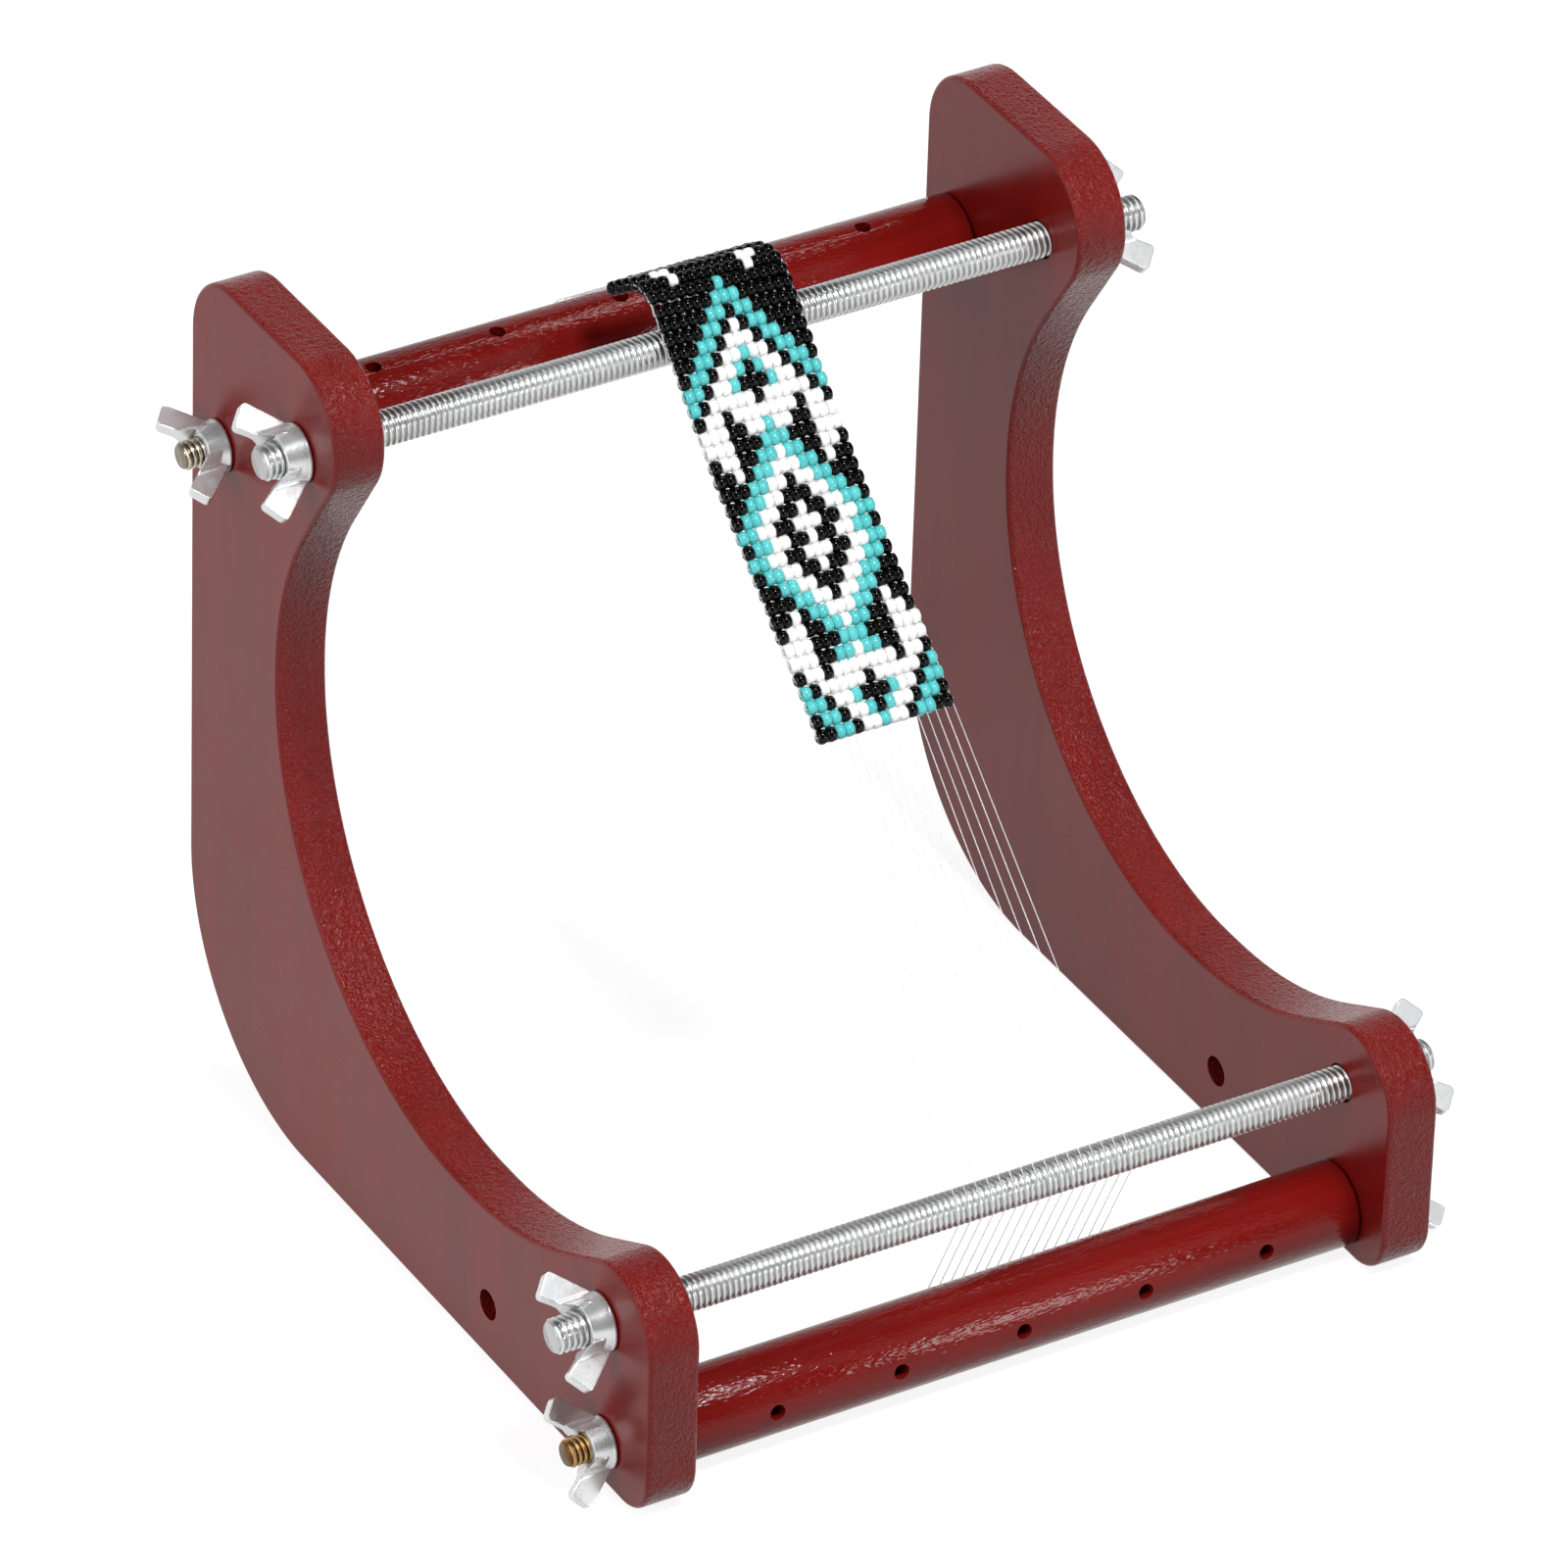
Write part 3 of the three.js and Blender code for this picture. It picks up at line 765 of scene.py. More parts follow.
def bump(
    graph: Graph, shader: bpy.types.Node, height: Socket, depth: float, strength: float = 1.0
) -> None:
    """Feeds the shader's normal from a height.

    Args:
        graph: The material's graph.
        shader: The Principled BSDF.
        height: The height.
        depth: How deep it goes, in millimetres.
        strength: How strongly it tilts the normal.
    """
    inputs = {"Height": height, "Distance": depth * MM, "Strength": strength}
    graph.feed(shader.inputs["Normal"], graph.add("Bump", inputs).outputs[0])


def tinted(colour: Colour, tint: Triple) -> Colour:
    """A colour whose red, green and blue are multiplied by a tint's."""
    return (colour[0] * tint[0], colour[1] * tint[1], colour[2] * tint[2], 1.0)


@dataclass(frozen=True)
class LacqueredWood:
    """Red lacquer over wood: smooth on sawn faces, wrinkled on the edge bands.

    Attributes:
        name: The material's name.
        stretch: How the grain's pattern is squeezed along each axis.
        bright: The colour where the stain is thin.
        deep: The colour where it is dark.
        wrinkle: The wrinkles' depth in millimetres where the surface is wrinkled.
        all_round: Whether every surface is wrinkled, as on a turned piece.
        shine: The lacquer's index of refraction.
        wrinkle_scale: The wrinkles' number per metre.
        wrinkle_stretch: How the wrinkles are squeezed along each axis.
        figure_scale: The scale of the wood's figure, per metre.
        pore_scale: The scale of its pores, per metre.
        pore_share: How much of the pores' tint shows.
        pore_tint: What the pores multiply the deep colour by.
        patch_scale: The scale of the rubbed patches, per metre.
        patch_share: How much of the patches' tint shows.
        patch_tint: What the rubbed patches multiply the bright colour by.
        roughness: The roughness of a sawn face where it is clean and where it is rubbed.
        band_polish: How much less rough the wrinkled lacquer is.
        face_wrinkle: The share of the wrinkles that sawn faces have.
        face_normal: The normal's reach in x where a band ends and where a sawn face starts.
    """

    name: str
    stretch: Triple
    bright: Colour
    deep: Colour
    wrinkle: float
    all_round: bool = False
    shine: float = 1.29
    wrinkle_scale: float = 900.0
    wrinkle_stretch: Triple = (1.0, 1.0, 1.0)
    figure_scale: float = 60.0
    pore_scale: float = 420.0
    pore_share: float = 0.05
    pore_tint: Triple = (0.55, 0.55, 0.55)
    patch_scale: float = 16.0
    patch_share: float = 0.25
    patch_tint: Triple = (1.18, 1.05, 1.0)
    roughness: Point = (0.22, 0.31)
    band_polish: float = 0.12
    face_wrinkle: float = 0.01
    face_normal: Point = (0.55, 0.95)

    def band(self, graph: Graph) -> object:
        """Where the surface is wrinkled.

        Args:
            graph: The material's graph.

        Returns:
            1 on the bands and 0 on sawn faces, as a socket or a number.
        """
        if self.all_round:
            return 1.0
        normal = graph.add("NewGeometry").outputs["Normal"]
        sideways = graph.add("SeparateXYZ", {0: normal}).outputs[0]
        face = graph.ramp(graph.math("ABSOLUTE", sideways), *self.face_normal)
        return graph.math("SUBTRACT", 1.0, face)

    def build(self) -> bpy.types.Material:
        """Makes the material.

        Returns:
            The material.
        """
        material, graph, shader = start_material(self.name)
        stretched = graph.place(scale=self.stretch)
        grain = WOOD_GRAIN.use(graph, stretched, self.figure_scale, self.pore_scale)
        patches = HANDLING.use(graph, graph.place(), self.patch_scale).outputs[0]
        wrinkled = graph.place(scale=self.wrinkle_stretch)
        peel = ORANGE_PEEL.use(graph, wrinkled, self.wrinkle_scale).outputs[0]
        stain = graph.mix(grain.outputs["Figure"], self.bright, self.deep)
        pores = graph.math("MULTIPLY", grain.outputs["Pores"], self.pore_share)
        pored = graph.mix(pores, stain, tinted(self.deep, self.pore_tint))
        rubbed = graph.math("MULTIPLY", patches, self.patch_share)
        colour = graph.mix(rubbed, pored, tinted(self.bright, self.patch_tint))
        graph.feed(shader.inputs["Base Color"], colour)
        band = self.band(graph)
        polish = graph.math("MULTIPLY", band, self.band_polish)
        rough = graph.math("SUBTRACT", graph.between(patches, *self.roughness), polish)
        graph.feed(shader.inputs["Roughness"], rough)
        shader.inputs["IOR"].default_value = self.shine
        wrinkles = graph.math("MULTIPLY", peel, graph.between(band, self.face_wrinkle, 1.0))
        bump(graph, shader, wrinkles, self.wrinkle)
        return material


@dataclass(frozen=True)
class PlatedMetal:
    """Bright or dull plating, a little uneven, with painted shade down in the threads' roots.

    Attributes:
        name: The material's name.
        crest: The colour of clean metal, and of a thread's crests.
        root: The colour of smudges, and of the painted shade in a thread's roots.
        roughness: The lowest and highest roughness.
        axis: The y and z of the thread's axis in millimetres, for a threaded piece.
        radius: The thread's outer radius in millimetres, or 0 for a piece with no thread.
        thread: The thread's depth in millimetres.
        bare: How much of the surface is bare metal, under 1 where the plating is milky.
        smudge_scale: The smudges' scale, per metre.
        smudge_share: How much the smudges darken a piece with no thread.
        root_shade_share: How much of a threaded piece's darkening is painted shade in its roots; smudges
            give the rest.
        grit_scale: The scale of the plating's grit, per metre.
        grit_depth: The grit's depth in millimetres.
        grit_strength: How strongly the grit tilts the normal.
    """

    name: str
    crest: Colour
    root: Colour
    roughness: Point
    axis: Point = (0.0, 0.0)
    radius: float = 0.0
    thread: float = 1.0
    bare: float = 1.0
    smudge_scale: float = 90.0
    smudge_share: float = 0.3
    root_shade_share: float = 0.8
    grit_scale: float = 900.0
    grit_depth: float = 0.03
    grit_strength: float = 0.35

    def build(self) -> bpy.types.Material:
        """Makes the material.

        Returns:
            The material.
        """
        material, graph, shader = start_material(self.name)
        plain = graph.place()
        smudge = HANDLING.use(graph, plain, self.smudge_scale).outputs[0]
        # Darkening towards the root colour: on a threaded piece, painted shade in the thread's roots
        # mixed with smudges; elsewhere smudges alone.
        if self.radius:
            centred = graph.place(location=(0, -self.axis[0] * MM, -self.axis[1] * MM))
            painted_root_shade = THREAD_ROOT_SHADE.use(graph, centred, self.radius * MM, self.thread * MM)
            dark = graph.blend(painted_root_shade.outputs[0], smudge, self.root_shade_share)
        else:
            dark = graph.math("MULTIPLY", smudge, self.smudge_share)
        graph.feed(shader.inputs["Base Color"], graph.mix(dark, self.crest, self.root))
        shader.inputs["Metallic"].default_value = self.bare
        graph.feed(shader.inputs["Roughness"], graph.between(smudge, *self.roughness))
        grit = graph.noise(plain, self.grit_scale, detail=3.0, rough=0.6)
        bump(graph, shader, grit, self.grit_depth, self.grit_strength)
        return material


@dataclass(frozen=True)
class BeadGlass:
    """Opaque seed-bead glass, a little different in each bead.

    Attributes:
        name: The material's name.
        colour: The usual colour.
        other: The colour of the beads that differ most.
        roughness: The surface's least roughness.
        shine: The glass's index of refraction.
        dulled: How much rougher the glass is where it is cloudy.
        tone_share: How much of the difference goes by the bead, and not by cloudy spots.
        cloud_scale: The cloudy spots' scale, per metre.
        ripple_scale: The scale of the surface's ripples, per metre.
        ripple_depth: The ripples' depth in millimetres.
        ripple_strength: How strongly the ripples tilt the normal.
    """

    name: str
    colour: Colour
    other: Colour
    roughness: float
    shine: float = 1.5
    dulled: float = 0.06
    tone_share: float = 0.75
    cloud_scale: float = 700.0
    ripple_scale: float = 500.0
    ripple_depth: float = 0.03
    ripple_strength: float = 0.4

    def build(self) -> bpy.types.Material:
        """Makes the material.

        Returns:
            The material.
        """
        material, graph, shader = start_material(self.name)
        tone = graph.add("Attribute", attribute_name=TONE).outputs["Fac"]
        plain = graph.place()
        cloud = graph.ramp(graph.noise(plain, self.cloud_scale), low=0.3, high=0.75)
        share = graph.blend(tone, cloud, self.tone_share)
        graph.feed(shader.inputs["Base Color"], graph.mix(share, self.colour, self.other))
        rough = graph.between(cloud, self.roughness, self.roughness + self.dulled)
        graph.feed(shader.inputs["Roughness"], rough)
        shader.inputs["IOR"].default_value = self.shine
        ripples = graph.noise(plain, self.ripple_scale, detail=1.0)
        bump(graph, shader, ripples, self.ripple_depth, self.ripple_strength)
        return material


@dataclass(frozen=True)
class NylonThread:
    """Twisted white nylon, faintly sheer, with painted shade in the hollows of its twist.

    Attributes:
        name: The material's name.
        colour: The thread's colour.
        cover: How much of what lies behind it is covered.
        twist_scale: The scale of the twist, per metre.
        twist_depth: The twist's depth in millimetres.
        twist_strength: How strongly the twist tilts the normal.
        shade: How much of the painted shade in the twist's hollows shows.
        twist_shade_tint: What the painted shade in the twist's hollows multiplies the colour by.
        roughness: The lowest and highest roughness.
    """

    name: str
    colour: Colour
    cover: float
    twist_scale: float = 1500.0
    twist_depth: float = 0.05
    twist_strength: float = 0.6
    shade: float = 0.35
    twist_shade_tint: Triple = (0.72, 0.72, 0.72)
    roughness: Point = (0.32, 0.52)

    def build(self) -> bpy.types.Material:
        """Makes the material.

        Returns:
            The material.
        """
        material, graph, shader = start_material(self.name)
        twist = graph.noise(graph.place(), self.twist_scale, detail=1.0)
        # Painted shade in the hollows of the twist.
        shade = graph.math("MULTIPLY", graph.ramp(twist, low=0.3, high=0.7), self.shade)
        painted_twist_shade = tinted(self.colour, self.twist_shade_tint)
        graph.feed(shader.inputs["Base Color"], graph.mix(shade, self.colour, painted_twist_shade))
        graph.feed(shader.inputs["Roughness"], graph.between(twist, *self.roughness))
        shader.inputs["Alpha"].default_value = self.cover
        bump(graph, shader, twist, self.twist_depth, self.twist_strength)
        return material


@dataclass
class SidePanels:
    """The two sawn wooden side panels.

    Attributes:
        waist: The y of the concave front's upright line.
        sill: The z of its level line.
        eased: The radius of the eased edges.
        step: The turn in degrees from one point of a round to the next.
        rod_clearance: The room round a rod in its hole.
        stud_clearance: The room round a stud in its hole.
    """

    waist: float = 61.5
    sill: float = 37.3
    eased: float = 1.0
    step: float = 2.0
    rod_clearance: float = 0.45
    stud_clearance: float = 0.3

    @property
    def corners(self) -> list[Triple]:
        """The outline before rounding, each corner's y, z and radius."""
        back, front, top = SIZES.depth / 2, -SIZES.depth / 2, SIZES.height
        return [
            (back, 0.0, 51.8),
            (back, top, 16.8),
            (23.0, top, 16.8),
            (self.waist, 140.4, 77.5),
            (self.waist, self.sill, 79.0),
            (-43.9, self.sill, 94.7),
            (front, 65.9, 15.4),
            (front, 0.0, 10.5),
        ]

    def board(self, name: str, inner: float, outer: float) -> Piece:
        """Saws one board, eases its edges and drills it.

        Args:
            name: The panel's name.
            inner: The x of one face.
            outer: The x of the other face.

        Returns:
            The panel.
        """
        panel = plate(name, inner, self.corners, self.step)
        with EditMode(panel) as work:
            work.select_all()
            move = {"value": ((outer - inner) * MM, 0, 0)}
            bpy.ops.mesh.extrude_region_move(TRANSFORM_OT_translate=move)
            work.close_and_face_out()
            work.select_loops_across_x()
            bpy.ops.mesh.bevel(offset=self.eased * MM, segments=4, affect="EDGES")
        cut(panel, self.drills(min(inner, outer), max(inner, outer)))
        smooth(panel, degrees=32)
        apply_modifier(panel, "WEIGHTED_NORMAL", keep_sharp=True, weight=90)
        return panel

    def drills(self, low: float, high: float) -> list[Piece]:
        """The cutters of the five holes.

        Args:
            low: The panel's lower x.
            high: Its higher x.

        Returns:
            The cutters.
        """
        rod = SIZES.rod_diameter / 2 + self.rod_clearance
        stud = SIZES.stud_diameter / 2 + self.stud_clearance
        holes = [
            (SIZES.upper_rod, rod),
            (SIZES.lower_rod, rod),
            (SIZES.upper_roller, stud),
            (SIZES.lower_roller, stud),
            (SIZES.spare_hole, stud),
        ]
        low, high = low - DRILL_PAST, high + DRILL_PAST
        return [cylinder("drill", radius, low, high, axis) for axis, radius in holes]

    def build(self, wood: bpy.types.Material) -> None:
        """Makes both panels.

        Args:
            wood: Their finish.
        """
        for side in Side:
            name = f"{side.name.lower()}_panel_board"
            board = self.board(name, side.value * SIZES.half_gap, side.value * SIZES.half_width)
            hand_over(board, "frame", Slot.WOOD, wood, [f"{side.name.lower()}_side_panel"])


@dataclass(frozen=True)
class ScrewThread:
    """A rolled screw thread on a bar along x.

    Attributes:
        diameter: The outer diameter.
        pitch: The pitch.
        depth_share: The thread's depth, as a share of its pitch.
        flank: The way up from a root to a crest, as shares of the pitch and the depth.
        turn_steps: The points round one turn.
        merge: How near two vertices are when they become one.
        cone_slope: How much narrower the bar gets for each millimetre of its chamfer.
    """

    diameter: float
    pitch: float
    depth_share: float = 0.42
    flank: tuple[Point, ...] = ((0.0, 0.0), (0.06, 0.0), (0.14, 0.24), (0.27, 0.84), (0.34, 1.0))
    turn_steps: int = 32
    merge: float = 0.002
    cone_slope: float = 0.9

    @property
    def depth(self) -> float:
        """The thread's depth."""
        return self.pitch * self.depth_share

    def bar(self, name: str, start: float, end: float, axis: Point, chamfer: float) -> Piece:
        """A threaded bar.

        Args:
            name: Its name.
            start: Its lower x.
            end: Its higher x.
            axis: The y and z of its axis.
            chamfer: The chamfer at both ends.

        Returns:
            The bar.
        """
        root = self.diameter / 2 - self.depth
        profile = [*self.flank, *((1 - along, up) for along, up in reversed(self.flank))]
        first = start - 2 * self.pitch
        turns = math.ceil((end - start) / self.pitch) + 3
        pen = Pen(name, (0, 0, root), (first, *axis))
        for along, up in profile[1:]:
            pen.line_to((along * self.pitch, 0, root + up * self.depth))
        bar = pen.finish(closed=False)
        apply_modifier(
            bar,
            "SCREW",
            axis="X",
            screw_offset=self.pitch * MM,
            iterations=turns,
            steps=self.turn_steps,
            render_steps=self.turn_steps,
            use_merge_vertices=True,
            merge_threshold=self.merge * MM,
            use_smooth_shade=True,
        )
        settle(bar)
        with EditMode(bar) as work:
            work.select_all()
            bpy.ops.mesh.remove_doubles(threshold=self.merge * MM)
            for place, inner in ((start, True), (end, False)):
                work.select_all()
                bpy.ops.mesh.bisect(
                    plane_co=(place * MM, axis[0] * MM, axis[1] * MM),
                    plane_no=(1, 0, 0),
                    use_fill=True,
                    clear_inner=inner,
                    clear_outer=not inner,
                    threshold=0.0001 * MM,
                )
            work.close_and_face_out()
        self.trim(bar, start, end, axis, chamfer)
        smooth(bar, degrees=50)
        return bar

    def trim(self, bar: Piece, start: float, end: float, axis: Point, chamfer: float) -> None:
        """Turns the thread down to a cone at both ends.

        Args:
            bar: The bar.
            start: Its lower x.
            end: Its higher x.
            axis: The y and z of its axis.
            chamfer: How far the cone reaches along the bar.
        """
        outer = self.diameter / 2
        for vertex in bar.data.vertices:
            from_end = min(vertex.co.x / MM - start, end - vertex.co.x / MM)
            if from_end < chamfer:
                y, z = vertex.co.y / MM - axis[0], vertex.co.z / MM - axis[1]
                most = outer - (chamfer - from_end) * self.cone_slope
                reach = math.hypot(y, z)
                if reach > most:
                    vertex.co.y = (axis[0] + y * most / reach) * MM
                    vertex.co.z = (axis[1] + z * most / reach) * MM


@dataclass
class ThreadedRods:
    """The two threaded rods, which also space the warp threads.

    Attributes:
        proud: How far a rod stands out of the panels, at each end when it is centred.
        upper_shift: How far the upper rod is pushed to the right.
        lower_shift: How far the lower rod is pushed to the right.
        chamfer: The chamfer at a rod's ends.
        crest: The colour of the threads' crests.
        root: The colour of their roots, darker as painted shade.
        roughness: The lowest and highest roughness of the zinc.
        thread: The rods' thread.
    """

    proud: float = 11.0
    upper_shift: float = 1.4
    lower_shift: float = -1.4
    chamfer: float = 0.8
    crest: Colour = (0.61, 0.62, 0.62, 1)
    root: Colour = (0.43, 0.435, 0.43, 1)
    roughness: Point = (0.28, 0.38)
    thread: ScrewThread = ScrewThread(SIZES.rod_diameter, SIZES.rod_pitch)

    def build(self) -> None:
        """Makes both rods, each with its own finish centred on it."""
        half = SIZES.half_width + self.proud
        rods = (
            ("upper", SIZES.upper_rod, self.upper_shift),
            ("lower", SIZES.lower_rod, self.lower_shift),
        )
        for level, axis, shift in rods:
            rod = self.thread.bar(f"{level}_rod", shift - half, shift + half, axis, self.chamfer)
            # The root colour is painted shade in the rods' thread roots.
            finish = PlatedMetal(
                f"zinc_{level}_rod",
                self.crest,
                self.root,
                self.roughness,
                axis,
                radius=self.thread.diameter / 2,
                thread=self.thread.depth,
            )
            hand_over(rod, f"{level}_rod_body", Slot.ZINC, finish.build(), [f"{level}_threaded_rod"])


@dataclass
class Rollers:
    """The two turned wooden rollers and the hanger bolts in their ends.

    Attributes:
        end_round: The round at a roller's ends.
        peg_diameter: The diameter of the peg holes.
        peg_pitch: The distance from one peg hole to the next.
        peg_count: The number of peg holes in a roller.
        upper_peg_angle: The angle of the upper roller's peg holes above the front, in degrees.
        lower_peg_angle: The angle of the lower roller's.
        bore_clearance: The room round a bolt in the roller.
        screwed_in: How deep a bolt sits in the roller.
        point: The length of a bolt's tapered point.
        point_width: The point's width at its tip, as a share of the bolt's.
        proud: How far a bolt stands out of the panel.
        chamfer: The chamfer at a bolt's end.
        sides: The number of a roller's sides.
        peg_sides: The number of a peg hole's sides.
        bronze: The crest colour, and the darker root colour of painted shade, of the dull upper bolts.
        brass: The crest colour, and the darker root colour of painted shade, of the golden lower bolts.
        roughness: The lowest and highest roughness of the bolts.
        thread: The bolts' thread.
    """

    end_round: float = 0.7
    peg_diameter: float = 3.6
    peg_pitch: float = 30.0
    peg_count: int = 5
    upper_peg_angle: float = 84.0
    lower_peg_angle: float = 5.6
    bore_clearance: float = 0.28
    screwed_in: float = 20.0
    point: float = 5.0
    point_width: float = 0.25
    proud: float = 9.6
    chamfer: float = 0.7
    sides: int = 128
    peg_sides: int = 32
    bronze: tuple[Colour, Colour] = ((0.56, 0.50, 0.41, 1), (0.16, 0.13, 0.09, 1))
    brass: tuple[Colour, Colour] = ((0.5, 0.31, 0.13, 1), (0.1, 0.045, 0.014, 1))
    roughness: Point = (0.24, 0.4)
    thread: ScrewThread = ScrewThread(SIZES.stud_diameter, SIZES.stud_pitch)

    def dowel(self, name: str, axis: Point, peg_angle: float) -> Piece:
        """Turns one roller and drills it.

        Args:
            name: Its name.
            axis: The y and z of its axis.
            peg_angle: The angle of its peg holes above the front, in degrees.

        Returns:
            The roller.
        """
        half = SIZES.half_gap - SIZES.roller_end_gap
        radius = SIZES.roller_diameter / 2
        roller = cylinder(name, radius, -half, half, axis, self.sides)
        with EditMode(roller) as work:
            work.select_loops_across_x()
            bpy.ops.mesh.bevel(offset=self.end_round * MM, segments=3, affect="EDGES")
        bore = SIZES.stud_diameter / 2 + self.bore_clearance
        deep, past = half - self.screwed_in, half + DRILL_PAST
        drills = [
            cylinder("drill", bore, -past, -deep, axis),
            cylinder("drill", bore, deep, past, axis),
        ]
        tilt = math.radians(90 - peg_angle)
        for i in range(self.peg_count):
            x = self.peg_pitch * (i - (self.peg_count - 1) / 2)
            bpy.ops.mesh.primitive_cylinder_add(
                vertices=self.peg_sides,
                radius=self.peg_diameter / 2 * MM,
                depth=(SIZES.roller_diameter + 4 * DRILL_PAST) * MM,
                location=(x * MM, axis[0] * MM, axis[1] * MM),
                rotation=(tilt, 0, 0),
            )
            drills.append(settle(newest("drill")))
        cut(roller, drills)
        smooth(roller, degrees=32)
        return roller

    def stud(self, name: str, side: Side, axis: Point) -> Piece:
        """One hanger bolt.

        Args:
            name: Its name.
            side: The end of the loom that it is at.
            axis: The y and z of its axis.

        Returns:
            The bolt.
        """
        face = SIZES.half_gap - SIZES.roller_end_gap
        inner = face - self.screwed_in
        outer = SIZES.half_width + self.proud
        start, end = sorted((side.value * inner, side.value * outer))
        bolt = self.thread.bar(name, start, end, axis, self.chamfer)
        for vertex in bolt.data.vertices:
            from_point = abs(vertex.co.x) / MM - inner
            if from_point < self.point:
                share = self.point_width + (1 - self.point_width) * from_point / self.point
                vertex.co.y = axis[0] * MM + (vertex.co.y - axis[0] * MM) * share
                vertex.co.z = axis[1] * MM + (vertex.co.z - axis[1] * MM) * share
        return bolt

    def build(self, wood: bpy.types.Material) -> None:
        """Makes both rollers with their bolts.

        Args:
            wood: The rollers' finish.
        """
        rollers = (
            ("upper", SIZES.upper_roller, self.upper_peg_angle, Slot.BRONZE, self.bronze),
            ("lower", SIZES.lower_roller, self.lower_peg_angle, Slot.BRASS, self.brass),
        )
        for level, axis, angle, slot, colours in rollers:
            roller = self.dowel(f"{level}_roller_dowel", axis, angle)
            hand_over(roller, f"{level}_roller_body", Slot.WOOD, wood, [f"{level}_roller"])
            # The root colour is painted shade in the bolts' thread roots.
            finish = PlatedMetal(
                slot.value,
                *colours,
                self.roughness,
                axis,
                radius=self.thread.diameter / 2,
                thread=self.thread.depth,
            ).build()
            for side in Side:
                node = f"{level}_{side.name.lower()}_roller_stud"
                bolt = self.stud(f"{level}_{side.name.lower()}_hanger_bolt", side, axis)
                hand_over(bolt, f"{level}_roller_body", slot, finish, [node])


@dataclass(frozen=True)
class NutPattern:
    """One size of wing nut, drawn on x = 0 with its wings in the x, y plane.

    Attributes:
        name: The pattern's name.
        bore: The diameter of its bore.
        hub_base: The hub's diameter at the seat.
        hub_top: The hub's diameter at its top.
        hub_height: The hub's height.
        root: The height and radius where a wing's middle line starts.
        tip: The height and radius where it ends.
        wing_width: A wing's width.
        notch: How far above the hub the wings' inner edges meet the bore.
        rim: The height of the hub's straight rim.
        thickness: A wing's thickness.
        foot: How far above the seat a wing starts.
        inset: How far inside the hub's side a wing's outer edge starts.
        land: How far outside the bore a wing's inner edge ends.
        tip_round: The round of a wing's tip, seen from the side.
        end_round: The round of a wing's end, seen along the bore.
        flare: The slope of the wings' widening towards the hub, in degrees.
        flare_round: The radius of the hollow where that starts.
        voxel: The fineness of the casting.
        softening: How many times the casting is smoothed.
        kept: The share of the casting's faces that is kept.
        bore_clearance: The room round the thread in the bore.
        sides: The number of sides of the hub and the bore.
    """

    name: str
    bore: float
    hub_base: float
    hub_top: float
    hub_height: float
    root: Point
    tip: Point
    wing_width: float
    notch: float = 0.9
    rim: float = 0.6
    thickness: float = 2.9
    foot: float = 0.5
    inset: float = 0.4
    land: float = 0.2
    tip_round: float = 1.1
    end_round: float = 0.9
    flare: float = 22.0
    flare_round: float = 1.6
    voxel: float = 0.13
    softening: int = 7
    kept: float = 0.3
    bore_clearance: float = 0.1
    sides: int = 64

    @property
    def height(self) -> float:
        """A height that clears the wings."""
        return self.tip[0] + self.wing_width

    def hub(self) -> list[Piece]:
        """The rim and the cone in the middle.

        Returns:
            Both pieces.
        """
        base = self.hub_base / 2
        rim = cylinder("rim", base, 0, self.rim, (0, 0), self.sides)
        bpy.ops.mesh.primitive_cone_add(
            vertices=self.sides,
            radius1=base * MM,
            radius2=self.hub_top / 2 * MM,
            depth=(self.hub_height - self.rim / 2) * MM,
            location=((self.hub_height + self.rim / 2) / 2 * MM, 0, 0),
            rotation=(0, QUARTER_TURN, 0),
        )
        return [rim, settle(newest("hub"))]

    def plan(self) -> Piece:
        """The wings' outline seen along the bore, as a bar along x.

        Returns:
            The bar.
        """
        half = self.thickness / 2
        reach = self.tip[1] + self.wing_width / 2
        middle = (self.hub_base + self.hub_top) / 4
        slope = math.radians(self.flare)
        meet = (middle - half * math.sin(slope)) / math.cos(slope)
        side = [(meet, half, self.flare_round), (0.0, middle / math.sin(slope), middle)]
        end = [(reach, -half, self.end_round), (reach, half, self.end_round)]
        corners = end + side + [(-meet, half, self.flare_round)]
        corners += [(-y, -z, radius) for y, z, radius in corners]
        bar = plate("plan", 0, corners, step=10)
        with EditMode(bar) as work:
            work.select_all()
            move = {"value": (self.height * MM, 0, 0)}
            bpy.ops.mesh.extrude_region_move(TRANSFORM_OT_translate=move)
            work.close_and_face_out()
        return bar

    def profile(self) -> Piece:
        """The wing that points along +y, as wide as the hub.

        Returns:
            The wing.
        """
        base, bore = self.hub_base / 2, self.bore / 2
        tip_from = self.tip[0] - self.wing_width / 2
        root, tip = Vector(self.root), Vector(self.tip)
        along = (tip - root).normalized()
        across = Vector((-along.y, along.x)) * (self.wing_width / 2)
        points = [
            (self.foot, base - self.inset),
            tuple(tip + across),
            tuple(tip - across),
            (self.hub_height + self.notch, bore + self.land),
            (self.foot, bore),
        ]
        pen = Pen("wing", (*points[0], -base))
        for point in points[1:]:
            pen.line_to((*point, -base))
        wing = pen.finish(closed=True)
        with EditMode(wing) as work:
            work.select("verts", lambda vert: vert.co.x > tip_from * MM)
            bpy.ops.mesh.bevel(offset=self.tip_round * MM, segments=4, affect="VERTICES")
            work.select_all()
            move = {"value": (0, 0, self.hub_base * MM)}
            bpy.ops.mesh.extrude_region_move(TRANSFORM_OT_translate=move)
            work.close_and_face_out()
        return wing

